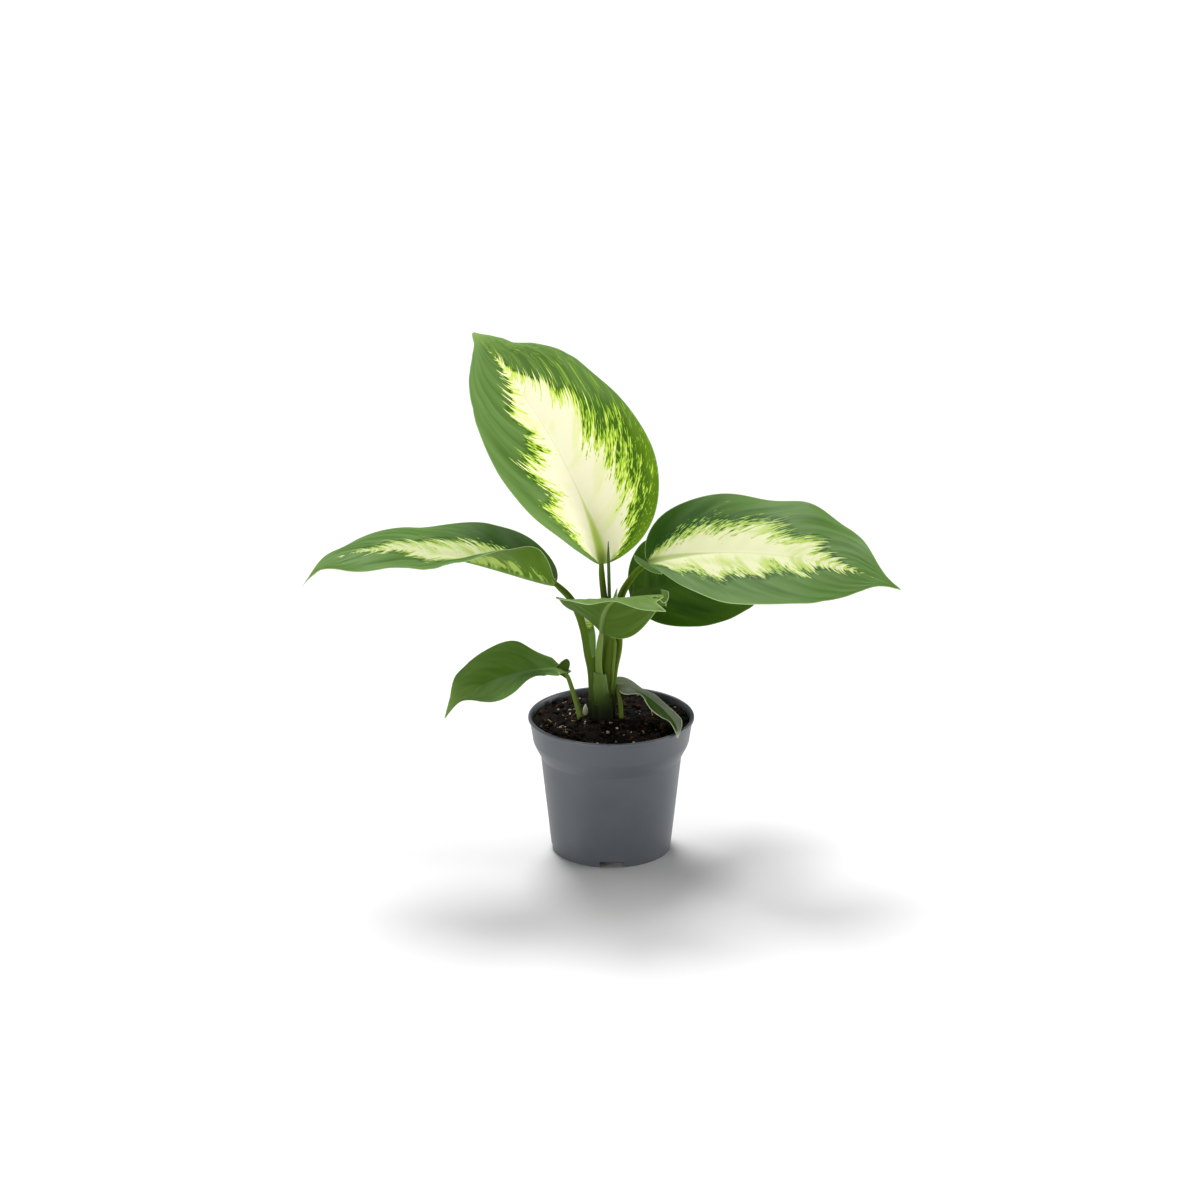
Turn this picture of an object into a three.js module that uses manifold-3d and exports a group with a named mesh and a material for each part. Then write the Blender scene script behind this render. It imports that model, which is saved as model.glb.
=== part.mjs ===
// Potted dieffenbachia: a young plant in a plastic nursery pot.
// Millimetres, +Z up, +X to the right and -Y to the front. The origin is the middle of the pot's underside.

import * as THREE from 'three';
import { mergeVertices } from 'three/addons/utils/BufferGeometryUtils.js';
import Module from 'manifold-3d';

// ---- Driving dimensions ----

// Pot.
const RIM_RADIUS = 60.8;
const POT_HEIGHT = 103;
const FOOT_RADIUS = 43.7;
const BODY_TOP_RADIUS = 51.7;
const BODY_TOP_Z = 73;
const COLLAR_RADIUS = 57.1;
const COLLAR_Z = 84;
const BEAD_HEIGHT = 3;
const WALL = 1.3;
const FLOOR_Z = 3.6;
const PAD_RADIUS = 14;
const NOTCH_WIDTH = 17;
const NOTCH_HEIGHT = 4.4;
const NOTCH_COUNT = 4;
const DRAIN_RADIUS = 4;
const DRAIN_RING = 29;
const DRAIN_COUNT = 8;
const POT_SIDES = 48;

// Potting soil.
const SOIL_Z = 98.5;
const SOIL_CROWN = 1.5;
const SOIL_BUMP = 0.9;
const SOIL_SIDES = 28;
const CRUMB_COUNT = 26;
const CRUMB_SIZES = [1.1, 2.7];
const CRUMB_SEED = 11;

// Plant.
const GAP = 0.3;
const BLADE = 0.8;
const RIB_HEIGHT = 2.0;
const RIB_SHARE = 0.05;
const ROW_CROWDING = 0.65;
const BLADE_ENDS = [0.002, 0.997];
const LOBE_REACH = 0.13;
const SHOOT_STEPS = 8;
const ROOTED_Z = 60;
const STALK_SIDES = 12;
const STALK_STEPS = 15;

// The short upright stem. A station is x, y, z, half width, half depth.
const CANE = [
  [-5, 0.5, 45, 5.4, 5.4],
  [-5, 0.5, 75, 6.0, 6.0],
  [-5, 0.5, 100, 6.0, 6.0],
  [-4.2, 0.8, 118, 5.6, 5.6],
];

// The tightly rolled new leaf, the tip of the one after it and a side shoot.
const SPEAR = [
  [-0.6, 0.4, 150, 1.5, 1.5],
  [-0.9, 0.8, 178, 1.5, 1.5],
  [-1.4, 1.6, 196, 1.3, 1.3],
  [-2.0, 2.6, 222, 1.2, 1.2],
  [-2.2, 3.0, 236, 0.35, 0.35],
];
const BUD = [
  [0.4, -1.2, 164, 1.8, 1.6],
  [1.6, -1.5, 184, 1.8, 1.6],
  [2.8, -1.6, 194, 1.7, 1.4],
  [4.2, -1.8, 202, 0.35, 0.35],
];
const SPROUT = [
  [-18.7, 6.4, 84, 2.0, 2.0],
  [-18.9, 6.4, 100, 2.0, 1.9],
  [-19.0, 6.3, 105.5, 1.7, 1.6],
  [-18.8, 6.2, 109, 0.4, 0.4],
];

// Each leaf is a stalk that sheathes the cane and a blade.
// spine:  the midrib, four points of a Bezier curve, from the blade's base to its tip
// face:   which way the upper side looks, at the base and at the tip
// shape:  place of the widest part, fullness, and how much the last third narrows
// halves: seen from above with the tip ahead. half = width, fold = degrees up from level beside the
//         midrib, curl = more degrees by the margin; both are spaced evenly from base to tip.
//         waves = number along the leaf, height and start. lobe = how far the base reaches back.
//         trim = local corrections of the width, as places along the leaf and shares.
// flaps:  small curled lobes and loose sheath edges, each as rows of points on its middle surface
// stalk:  x, y, z, half width and half depth, from the soil up. outward: the side it leaves on.
const LEAVES = {
  leaf_top: {
    color: 0x7f9a4a,
    rows: 20,
    spine: [[-7, 6, 217], [-18, 34, 272], [-66, 30, 347.5], [-101, 80, 371]],
    face: [[0.47, -0.9, 0.36], [0.23, -0.81, 0.45]],
    shape: [0.74, 0.67, 0.5],
    left: {
      half: 61,
      trim: [
        [0, 0.88], [0.07, 1], [0.68, 1], [0.73, 0.97], [0.79, 1.03], [0.83, 1.08],
        [0.87, 1.06], [0.91, 0.96], [0.95, 0.71], [1, 0.8],
      ],
      fold: [33, 15, 7],
      curl: [10, 9, 0],
      waves: [[2, -0.9, 0.03], [3.6, 0.5, -0.2]],
    },
    right: {
      half: 64.7,
      trim: [
        [0, 0.95], [0.05, 1], [0.69, 1], [0.72, 0.98], [0.79, 1.01], [0.83, 1.03],
        [0.87, 0.89], [0.91, 1.02], [0.95, 0.98], [1, 0.5],
      ],
      fold: [33, 6, 5],
      curl: [8, -11, -7],
      waves: [[2.2, -2.3, -0.05], [3.9, -1.1, -0.18]],
    },
    outward: [-0.2, 1],
    flaps: [
      [
        [
          [0.9, -1.5, 161.8], [0.9, -1.6, 152.5], [0.2, -1.6, 143.2], [-0.5, -1.6, 132.3],
          [-1.3, -1.6, 119.8],
        ],
        [
          [2.6, -3.2, 162], [2.3, -3.3, 153.1], [1.4, -3.3, 143.8], [0.6, -3.2, 132.9],
          [-0.2, -3, 120.3],
        ],
        [
          [3.9, -2.8, 161.8], [3.6, -2.8, 152.9], [2.7, -2.8, 143.6], [2, -2.8, 132.7],
          [1.1, -2.6, 120.2],
        ],
      ],
    ],
    stalk: [
      [-4.0, 0.8, 118.4, 5.4, 5.4],
      [-3.2, 1.0, 136, 5.1, 5.1],
      [-1.6, 1.0, 154, 4.85, 4.85],
      [-1.2, 1.2, 168, 4.5, 4.4],
      [-2.4, 1.6, 178, 3.8, 3.5],
      [-4.4, 2.2, 188, 2.7, 2.5],
      [-5.6, 3.0, 197, 2.4, 2.3],
      [-6.9, 5.0, 210, 2.2, 2.1],
      [-7.2, 6.6, 218, 1.7, 1.6],
    ],
  },
  leaf_right: {
    color: 0x6d8c45,
    rows: 20,
    spine: [[26.5, 10, 216.7], [61.7, 24, 223.5], [141, -0.8, 235.3], [208.7, -30, 210.3]],
    face: [[-0.5, -0.38, 0.9], [0.15, -0.51, 0.9]],
    shape: [0.77, 0.71, 0.82],
    left: { half: 61, fold: [17.5, 1, 7], curl: [17, -19, 0], waves: [[2, 4, 0.25], [3.6, 2.2, 0.25]] },
    right: {
      half: 57,
      trim: [
        [0, 1], [0.69, 1], [0.75, 0.97], [0.79, 1.02], [0.83, 1.08], [0.87, 1.05],
        [0.91, 0.84], [0.95, 0.8], [1, 1],
      ],
      fold: [13, 7, -5],
      curl: [-11, 1, -9],
      waves: [[2.2, 1.1, -0.23], [3.9, -0.5, 0]],
    },
    outward: [0.85, 0.5],
    flaps: [
      [
        [
          [16.8, 11, 223.2], [20.5, 9.5, 221.2], [24.8, 8, 218.9], [30.2, 5, 216.1],
          [36.7, -5, 215.1],
        ],
        [
          [16.8, 9.8, 221.7], [19.8, 8, 219.4], [24.2, 6, 217.1], [29.8, 2.6, 214.8],
          [36.7, -5.5, 214.6],
        ],
        [
          [17.2, 11, 219], [19.9, 9.4, 216.5], [24, 7.6, 214.2], [29.5, 4, 212.1],
          [36.7, -5.4, 213.7],
        ],
      ],
    ],
    stalk: [
      [-0.6, 3.1, ROOTED_Z, 5.5, 3.2],
      [-0.6, 3.1, 115, 5.5, 3.2],
      [1.5, 3.4, 137, 4.4, 3.0],
      [5.4, 4.0, 155, 3.2, 2.6],
      [5.4, 4.4, 175, 3.0, 2.6],
      [7.2, 5.4, 193, 3.3, 2.6],
      [13.8, 7.6, 205, 2.7, 2.3],
      [21.0, 9.2, 213, 2.3, 2.1],
      [27.5, 10.4, 215.9, 1.6, 1.4],
    ],
  },
  leaf_left: {
    color: 0x5f8040,
    rows: 22,
    spine: [[-39.5, 0, 205.1], [-59.3, 6.5, 201.1], [-183.2, -11, 270], [-222.2, -39, 215.3]],
    face: [[-0.2, -0.29, 1], [0, -0.36, 0.95]],
    shape: [0.72, 0.7, 0.97],
    left: {
      half: 46,
      trim: [
        [0, 1], [0.31, 1.02], [0.37, 1.08], [0.43, 0.85], [0.47, 0.89], [0.51, 1.05],
        [0.55, 1.1], [0.6, 1], [0.83, 1], [0.87, 0.8], [0.91, 0.45], [0.95, 0.85],
        [1, 1],
      ],
      fold: [81, 66, 15.5, 5.5, 0.5],
      curl: [-14, -12.5, 5, 6, -6],
      waves: [[2, 3.9, 0.12], [3.6, -2.4, 0.19]],
    },
    right: {
      half: 55,
      fold: [12, 5, -6.5, -13, 4],
      curl: [-4, -8, -20.5, -26, -3],
      waves: [[2.2, 1.4, -0.05], [3.9, -0.6, 0.1]],
    },
    outward: [-1, 0],
    flaps: [
      [
        [
          [-20.5, -2, 183.6], [-18.7, -3, 176.2], [-16.9, -3.6, 168.7], [-15.8, -3.6, 158.6],
          [-14.8, -3.4, 146.9],
        ],
        [
          [-19.1, -3, 183.7], [-16.5, -4.3, 178.2], [-14.3, -5, 170.4], [-13.3, -5.2, 161.5],
          [-13, -4.6, 149.7],
        ],
        [
          [-17.9, -2.6, 183], [-14.7, -4, 179.7], [-12.1, -4.8, 171.5], [-11.2, -5, 163],
          [-11.5, -4.4, 150.4],
        ],
      ],
    ],
    stalk: [
      [-11.6, 0.5, ROOTED_Z, 6.4, 4.9],
      [-11.6, 0.5, 115, 6.2, 4.9],
      [-12.8, 0.3, 137, 5.4, 4.7],
      [-15.6, 0, 152, 4.4, 4.6],
      [-16.8, 0, 163, 3.4, 5.0],
      [-19.4, 0, 174, 2.8, 4.8],
      [-24.8, 0, 185, 2.6, 3.2],
      [-31.2, 0, 195.4, 2.6, 2.6],
      [-36.6, 0, 201, 2.7, 2.4],
      [-40.8, 0, 205, 2.1, 1.8],
    ],
  },
  leaf_rear: {
    color: 0x3f6a2c,
    rows: 15,
    spine: [[14.4, 22, 186], [44, 47.6, 186.4], [83.4, 89, 191.8], [115, 122.5, 157]],
    face: [[0.05, -0.88, 0.8], [-0.2, -0.15, 0.85]],
    shape: [0.77, 0.72, 0.57],
    left: { half: 41.7, fold: [14, 14, -4, -7, 0.6], curl: [0], waves: [[3.6, -0.6, 0.04]] },
    right: {
      half: 43,
      fold: [-5, 0, -3.5, -9, -4],
      curl: [-25, -10, -9, -16.5, -8],
      waves: [[2.2, 0.4, 0], [3.9, -0.6, 0.22]],
    },
    outward: [0.3, 1],
    stalk: [
      [-4.5, 5.9, ROOTED_Z, 5.0, 3.2],
      [-4.5, 5.9, 115, 5.0, 3.2],
      [-3.0, 7.0, 137, 4.0, 3.0],
      [0.0, 9.2, 150, 3.0, 2.6],
      [6.0, 14.6, 167, 2.3, 2.2],
      [11.0, 19.2, 180, 2.1, 2.0],
      [15.4, 22.9, 185.6, 1.5, 1.4],
    ],
  },
  leaf_front: {
    color: 0x547a38,
    rows: 18,
    spine: [[-7, -10, 170.7], [-7.2, -53, 208.8], [2.4, -60.4, 226], [38.3, -106, 221]],
    face: [[0.25, 0.29, 0.85], [-0.11, 0.14, 1]],
    shape: [0.76, 0.8, 0.61],
    left: {
      half: 42.4,
      trim: [
        [0, 1], [0.72, 1], [0.8, 0.75], [0.86, 0.45], [0.93, 0.4], [1, 0.6],
      ],
      fold: [-13, 3.5, 0, 6, 12],
      curl: [1.5, 28.5, -7.5, -16, -8],
      waves: [[2, -0.9, -0.05], [3.6, 1.5, -0.23]],
    },
    right: {
      half: 37.7,
      fold: [18, 11, 4, 1, -22],
      curl: [11.5, 0, -15, 0.5, -27],
      waves: [[2.2, 1.4, 0.35], [3.9, 1.1, 0.28]],
    },
    outward: [-0.1, -1],
    flaps: [
      [
        [
          [35, -56, 219.9], [35.5, -60, 218.6], [35.4, -65, 218.3], [34.3, -70, 218.8],
          [32.6, -74, 220.3], [30.5, -78, 220.8], [27.9, -81, 220],
        ],
        [
          [38.2, -58, 219.8], [38.4, -62, 218.2], [37.9, -68, 217.7], [36.1, -72, 217.6],
          [33.5, -75, 219.9], [30.8, -77, 221.2], [28, -78.5, 220.3],
        ],
        [
          [40.6, -60, 219.8], [40.8, -64, 217.4], [39.6, -68, 215.3], [37, -72, 215.2],
          [34.5, -75, 218.4], [31.8, -76, 221.9], [28.4, -76, 221.4],
        ],
      ],
      [
        [[-12.9, -7.8, 139.6], [-12.6, -7.9, 133.1], [-12.8, -7.4, 125.1], [-11.6, -6.1, 112.9]],
        [[-10.7, -9.7, 139], [-10.7, -9.8, 133.8], [-10.9, -9.5, 125.9], [-10.4, -7, 113.3]],
        [[-8.2, -10.3, 138.3], [-8.2, -10.4, 133.2], [-8.2, -10, 125.3], [-7.5, -7.3, 113.4]],
        [[-5.7, -9.5, 137.7], [-5.3, -9.6, 132.9], [-4.9, -9, 124.9], [-4.6, -7, 113.3]],
        [[-4, -7.6, 137.5], [-3.2, -7.5, 132.2], [-2.4, -6.8, 124.1], [-2, -5.5, 112.7]],
      ],
    ],
    stalk: [
      [-5.5, -4.9, ROOTED_Z, 6.0, 3.0],
      [-5.5, -4.9, 115, 6.0, 3.0],
      [-8.0, -5.7, 128, 4.4, 2.8],
      [-8.8, -6.4, 136.5, 3.0, 2.6],
      [-9.1, -7.0, 141, 2.5, 2.5],
      [-9.2, -8.0, 152, 2.5, 2.3],
      [-8.2, -9.2, 163, 2.2, 2.1],
      [-7.1, -11.4, 171.3, 1.6, 1.5],
    ],
  },
  leaf_low_left: {
    color: 0x4f7d33,
    rows: 14,
    spine: [[-32.3, -12, 140.4], [-54, -21, 151.4], [-105.6, -34.2, 142.7], [-120.4, -49.4, 118.5]],
    face: [[0, -0.05, 0.9], [-0.6, -0.7, 0.8]],
    shape: [0.73, 0.71, 0.78],
    left: {
      half: 23.6,
      trim: [
        [0, 0.3], [0.07, 0.35], [0.11, 0.85], [0.16, 0.78], [0.2, 0.78], [0.25, 1.12],
        [0.3, 0.97], [0.37, 0.94], [0.45, 1], [0.62, 1], [0.68, 1.06], [0.74, 1.05],
        [0.79, 0.8], [0.84, 0.5], [0.89, 0.5], [0.94, 1], [1, 1],
      ],
      fold: [27, 18, 5, 7, 19],
      curl: [-8, 2, -4, 6, 13],
      waves: [[2, -3, 0.02], [3.6, -0.3, 0]],
    },
    right: {
      half: 28.2,
      lobe: 6,
      trim: [
        [0, 0.35], [0.07, 0.45], [0.1, 0.9], [0.2, 0.95], [0.28, 1.02], [0.5, 0.99],
        [0.62, 1.02], [0.72, 0.98], [0.86, 0.97], [0.91, 1.15], [0.95, 1.3], [1, 1],
      ],
      fold: [19, 16, 20, 13, 8],
      curl: [0],
      waves: [[2.2, -3, -0.03], [3.9, 0.6, 0.1]],
    },
    outward: [-1, 0],
    flaps: [
      [
        [
          [-42, -13.6, 142.6], [-40.2, -13.2, 140.9], [-38, -12.8, 139.2], [-35.8, -12.5, 137.9],
          [-34.4, -12.2, 136.9], [-33.4, -12, 135.8],
        ],
        [
          [-40.9, -12.4, 143.4], [-38.7, -11.4, 144.1], [-36.3, -10.6, 144.6], [-34, -10.3, 144.1],
          [-32.6, -10.8, 141.1], [-32.9, -11.8, 136.2],
        ],
        [
          [-39.8, -11, 143.9], [-37.7, -9.6, 146.3], [-35.1, -8.6, 148.6], [-31.9, -8.4, 149.7],
          [-30, -9.4, 146.1], [-32.4, -11.6, 136.9],
        ],
      ],
    ],
    stalk: [
      [-21.8, 1.4, ROOTED_Z, 2.6, 2.6],
      [-22.2, 1.2, 98, 2.6, 2.6],
      [-24.3, -2.5, 110, 2.3, 2.3],
      [-27.8, -8.5, 124, 1.8, 1.8],
      [-31.6, -11.9, 137, 1.7, 1.6],
      [-33.6, -12.6, 140.6, 1.2, 1.1],
    ],
  },
  leaf_low_right: {
    color: 0x6b7d55,
    rows: 14,
    spine: [[4.1, 2, 125.4], [12.3, 7.9, 128], [53.3, -33.5, 112.8], [47.8, -44.1, 101.7]],
    face: [[0.46, -0.33, 0.9], [0.63, -0.34, 0.5]],
    shape: [0.65, 0.46, 0.48],
    left: {
      half: 14.6,
      fold: [1.5, -17, -12, 4.5, -38],
      curl: [0],
      waves: [[2, -0.7, 0], [3.6, 0.5, 0.22]],
    },
    right: {
      half: 8.5,
      fold: [-28, 2, 0, -19, -34],
      curl: [0],
      waves: [[2.2, -2.4, -0.04], [3.9, 0.5, -0.17]],
    },
    outward: [1, 0],
    stalk: [
      [7.4, -0.5, ROOTED_Z, 1.9, 1.9],
      [7.2, -0.5, 100, 1.9, 1.9],
      [6.4, 0.0, 113, 1.8, 1.8],
      [5.0, 1.2, 121, 1.6, 1.6],
      [5.6, 2.8, 125.3, 1.2, 1.2],
    ],
  },
};

const UNTRIMMED = [[0, 1]];

// Across each half of a blade, from the midrib to the margin.
const ACROSS = [RIB_SHARE, 0.28, 0.54, 0.79, 1];

const COLORS = {
  pot: 0x54575c,
  soil: 0x1d1512,
  cane: 0x3c5a24,
  spear: 0x4d7330,
  bud: 0xa9bb78,
  sprout: 0xb9c08e,
};

// ---- Solids ----

const wasm = await Module();
wasm.setup();

/** A closed three.js geometry as a solid that can be joined and cut. */
function solid(geometry) {
  const bare = new THREE.BufferGeometry();
  bare.setAttribute('position', geometry.getAttribute('position'));
  bare.setIndex(geometry.getIndex());
  const merged = mergeVertices(bare, 1e-4);
  return new wasm.Manifold(new wasm.Mesh({
    numProp: 3,
    vertProperties: new Float32Array(merged.getAttribute('position').array),
    triVerts: new Uint32Array(merged.getIndex().array),
  }));
}

/** The largest body of a solid; cutting can leave small scraps beside it. */
function largest(body) {
  const parts = body.decompose();
  return parts.reduce((best, part) => (part.volume() > best.volume() ? part : best));
}

/** A named mesh from a solid. */
function mesh(name, body, color, roughness) {
  const found = body.getMesh();
  const geometry = new THREE.BufferGeometry();
  geometry.setAttribute('position', new THREE.BufferAttribute(new Float32Array(found.vertProperties), 3));
  geometry.setIndex(new THREE.BufferAttribute(new Uint32Array(found.triVerts), 1));
  geometry.computeVertexNormals();
  const material = new THREE.MeshStandardMaterial({ color, roughness, metalness: 0 });
  const result = new THREE.Mesh(geometry, material);
  result.name = name;
  return result;
}

/**
 * A skin over rings of points, closed at both ends. A ring runs along one face and back along the
 * other, and both faces are split into triangles alike.
 */
function loft(rings) {
  const count = rings[0].length;
  const half = count / 2;
  const index = [];
  for (let row = 0; row + 1 < rings.length; row++) {
    for (let j = 0; j < count; j++) {
      const a = row * count + j;
      const b = row * count + ((j + 1) % count);
      const c = b + count;
      const d = a + count;
      if (j < half) index.push(a, b, c, a, c, d);
      else index.push(a, b, d, b, c, d);
    }
  }
  const last = (rings.length - 1) * count;
  for (let j = 0; j + 1 < half; j++) {
    const [p, q, r, s] = [j, j + 1, count - 2 - j, count - 1 - j];
    index.push(p, r, q, p, s, r);
    index.push(last + p, last + q, last + r, last + p, last + r, last + s);
  }
  const geometry = new THREE.BufferGeometry();
  geometry.setFromPoints(rings.flat());
  geometry.setIndex(index);
  const body = solid(geometry);
  if (body.volume() > 0) return body;
  geometry.setIndex(index.reverse());
  return solid(geometry);
}

// ---- Curves and blends ----

const smooth = (x) => THREE.MathUtils.smoothstep(x, 0, 1);

/** Values spaced evenly from base to tip, blended at u. */
function blend(values, u) {
  if (values.length === 1) return values[0];
  const place = THREE.MathUtils.clamp(u, 0, 1) * (values.length - 1);
  const k = Math.min(Math.floor(place), values.length - 2);
  return THREE.MathUtils.lerp(values[k], values[k + 1], smooth(place - k));
}

/** Share of the full half width at u. */
function outline([widest, fullness, narrowing], u) {
  return Math.sin(Math.PI * u ** widest) ** fullness * (1 - narrowing * smooth((u - 0.7) / 0.3));
}

/** The share at u from pairs of place and share, straight between them. */
function trimmed(pairs, u) {
  const next = pairs.findIndex(([place]) => place >= u);
  if (next < 0) return pairs[pairs.length - 1][1];
  if (next === 0) return pairs[0][1];
  const [[place, share], [nextPlace, nextShare]] = [pairs[next - 1], pairs[next]];
  return THREE.MathUtils.mapLinear(u, place, nextPlace, share, nextShare);
}

/** A tube through stations of x, y, z, half width and half depth, larger all round by grow. */
function tube(stations, outward, grow = 0, steps = STALK_STEPS) {
  const path = new THREE.CatmullRomCurve3(stations.map(([x, y, z]) => new THREE.Vector3(x, y, z)));
  const away = new THREE.Vector3(outward[0], outward[1], 0).normalize();
  const rings = [];
  for (let i = 0; i <= steps; i++) {
    const t = i / steps;
    const center = path.getPoint(t);
    const tangent = path.getTangent(t);
    const wide = new THREE.Vector3().crossVectors(away, tangent).normalize();
    const deep = new THREE.Vector3().crossVectors(tangent, wide);
    const place = t * (stations.length - 1);
    const k = Math.min(Math.floor(place), stations.length - 2);
    const halfWidth = THREE.MathUtils.lerp(stations[k][3], stations[k + 1][3], place - k) + grow;
    const halfDepth = THREE.MathUtils.lerp(stations[k][4], stations[k + 1][4], place - k) + grow;
    if (i === 0) center.addScaledVector(tangent, -grow);
    if (i === steps) center.addScaledVector(tangent, grow);
    const ring = [];
    for (let j = 0; j < STALK_SIDES; j++) {
      const angle = (2 * Math.PI * (j + 0.5)) / STALK_SIDES;
      ring.push(center.clone()
        .addScaledVector(wide, halfWidth * Math.cos(angle))
        .addScaledVector(deep, halfDepth * Math.sin(angle)));
    }
    rings.push(ring);
  }
  return loft(rings);
}

// ---- Leaves ----

/** A point of a blade's middle surface. side is 1 on the left half and -1 on the right. */
function bladePoint(leaf, frame, u, side, share) {
  const half = side > 0 ? leaf.left : leaf.right;
  const width = half.half * frame.width * trimmed(half.trim ?? UNTRIMMED, u);
  const fold = THREE.MathUtils.degToRad(blend(half.fold, u));
  let curl = THREE.MathUtils.degToRad(blend(half.curl, u));
  if (Math.abs(curl) < 1e-4) curl = 1e-4;
  const turned = fold + curl * share;
  const room = Math.min(1, frame.width * 1.5);
  let wave = 0;
  for (const [count, height, start] of half.waves) {
    wave += height * share * share * Math.sin(2 * Math.PI * (count * u + start)) * room;
  }
  const out = width * (Math.sin(turned) - Math.sin(fold)) / curl - Math.sin(turned) * wave;
  const up = width * (Math.cos(fold) - Math.cos(turned)) / curl + Math.cos(turned) * wave;
  const nearBase = Math.exp(-((u / LOBE_REACH) ** 2)) * Math.min(1, frame.width * 4);
  const back = (half.lobe ?? 0) * share * share * nearBase;
  return frame.center.clone()
    .addScaledVector(frame.left, side * out)
    .addScaledVector(frame.normal, up)
    .addScaledVector(frame.tangent, -back);
}

/** A thin sheet about rows of points. Its two faces are parallel but for the rib, a depth for each point. */
function sheet(rows, rib) {
  const rings = rows.map((points, i) => {
    const before = rows[Math.max(i - 1, 0)];
    const after = rows[Math.min(i + 1, rows.length - 1)];
    const upper = [];
    const lower = [];
    points.forEach((point, j) => {
      const along = after[j].clone().sub(before[j]);
      const across = points[Math.max(j - 1, 0)].clone().sub(points[Math.min(j + 1, points.length - 1)]);
      const normal = across.cross(along).normalize();
      upper.push(point.clone().addScaledVector(normal, -BLADE / 2));
      lower.unshift(point.clone().addScaledVector(normal, BLADE / 2 + rib(i, j)));
    });
    return [...upper, ...lower];
  });
  return loft(rings);
}

/** The blade with the raised midrib under its middle. */
function blade(leaf) {
  const spine = new THREE.CubicBezierCurve3(...leaf.spine.map((p) => new THREE.Vector3(...p)));
  const [faceBase, faceTip] = leaf.face.map((f) => new THREE.Vector3(...f));
  const shares = [...ACROSS.map((s) => -s).reverse(), 0, ...ACROSS];
  const places = [];
  const rows = [];
  for (let i = 0; i <= leaf.rows; i++) {
    const even = i / leaf.rows;
    const rounded = 0.5 - 0.5 * Math.cos(Math.PI * even);
    const u = THREE.MathUtils.clamp(THREE.MathUtils.lerp(even, rounded, ROW_CROWDING), ...BLADE_ENDS);
    const tangent = spine.getTangentAt(u);
    const face = faceBase.clone().lerp(faceTip, u);
    const left = new THREE.Vector3().crossVectors(face, tangent).normalize();
    const normal = new THREE.Vector3().crossVectors(tangent, left);
    const frame = { center: spine.getPointAt(u), tangent, left, normal, width: outline(leaf.shape, u) };
    places.push(u);
    rows.push(shares.map((s) => bladePoint(leaf, frame, u, s < 0 ? 1 : -1, Math.abs(s))));
  }
  return sheet(rows, (i, j) => (shares[j] === 0 ? RIB_HEIGHT * (1 - places[i]) ** 0.8 : 0));
}

/** A small curled lobe or loose sheath edge. */
function flap(rows) {
  return sheet(rows.map((row) => row.map((p) => new THREE.Vector3(...p))), () => 0);
}

// ---- Pot ----

function pot() {
  const inner = WALL / Math.cos(Math.PI / POT_SIDES);
  const profile = [
    [0, 0],
    [PAD_RADIUS, 0],
    [PAD_RADIUS + 1, FLOOR_Z],
    [FOOT_RADIUS - inner, FLOOR_Z],
    [FOOT_RADIUS - inner, 0],
    [FOOT_RADIUS, 0],
    [BODY_TOP_RADIUS, BODY_TOP_Z],
    [BODY_TOP_RADIUS + 1.3, BODY_TOP_Z + 2.4],
    [COLLAR_RADIUS - 1.3, COLLAR_Z - 3],
    [COLLAR_RADIUS, COLLAR_Z],
    [RIM_RADIUS - 1.2, POT_HEIGHT - BEAD_HEIGHT],
    [RIM_RADIUS, POT_HEIGHT - BEAD_HEIGHT + 0.5],
    [RIM_RADIUS, POT_HEIGHT - 0.7],
    [RIM_RADIUS - 0.7, POT_HEIGHT],
    [RIM_RADIUS - 1.8, POT_HEIGHT],
    [RIM_RADIUS - 2.5, POT_HEIGHT - 0.7],
    [COLLAR_RADIUS - inner, COLLAR_Z + 0.3],
    [COLLAR_RADIUS - 1.3 - inner, COLLAR_Z - 2],
    [BODY_TOP_RADIUS + 1.3 - inner, BODY_TOP_Z + 3.2],
    [BODY_TOP_RADIUS - inner, BODY_TOP_Z + 0.8],
    [FOOT_RADIUS + 0.5 - inner, FLOOR_Z + WALL + 1],
    [FOOT_RADIUS - 0.6 - inner, FLOOR_Z + WALL],
    [PAD_RADIUS, FLOOR_Z + WALL],
    [PAD_RADIUS - WALL, WALL],
    [0, WALL],
  ];
  const points = profile.map(([r, z]) => new THREE.Vector2(r, z));
  const lathe = new THREE.LatheGeometry(points, POT_SIDES);
  lathe.rotateX(Math.PI / 2);
  let body = upright(lathe);
  for (let i = 0; i < NOTCH_COUNT; i++) {
    const notch = new THREE.BoxGeometry(NOTCH_WIDTH, 6, 2 * NOTCH_HEIGHT);
    notch.translate(0, -FOOT_RADIUS, 0);
    notch.rotateZ((2 * Math.PI * i) / NOTCH_COUNT);
    body = body.subtract(solid(notch));
  }
  for (let i = 0; i < DRAIN_COUNT; i++) {
    const drain = new THREE.CylinderGeometry(DRAIN_RADIUS, DRAIN_RADIUS, 4 * WALL, 16);
    drain.rotateX(Math.PI / 2);
    drain.translate(DRAIN_RING, 0, FLOOR_Z + WALL / 2);
    drain.rotateZ((2 * Math.PI * (i + 0.5)) / DRAIN_COUNT);
    body = body.subtract(solid(drain));
  }
  return body;
}

/** A solid of revolution whose faces point out, whichever way its profile runs. */
function upright(lathe) {
  const body = solid(lathe);
  if (body.volume() > 0) return body;
  const index = lathe.getIndex();
  index.array.reverse();
  return solid(lathe);
}

// ---- Soil ----

/** Repeatable random numbers from 0 to 1. */
function randomFrom(seed) {
  let state = seed;
  return () => {
    state = (state * 1664525 + 1013904223) % 4294967296;
    return state / 4294967296;
  };
}

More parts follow.
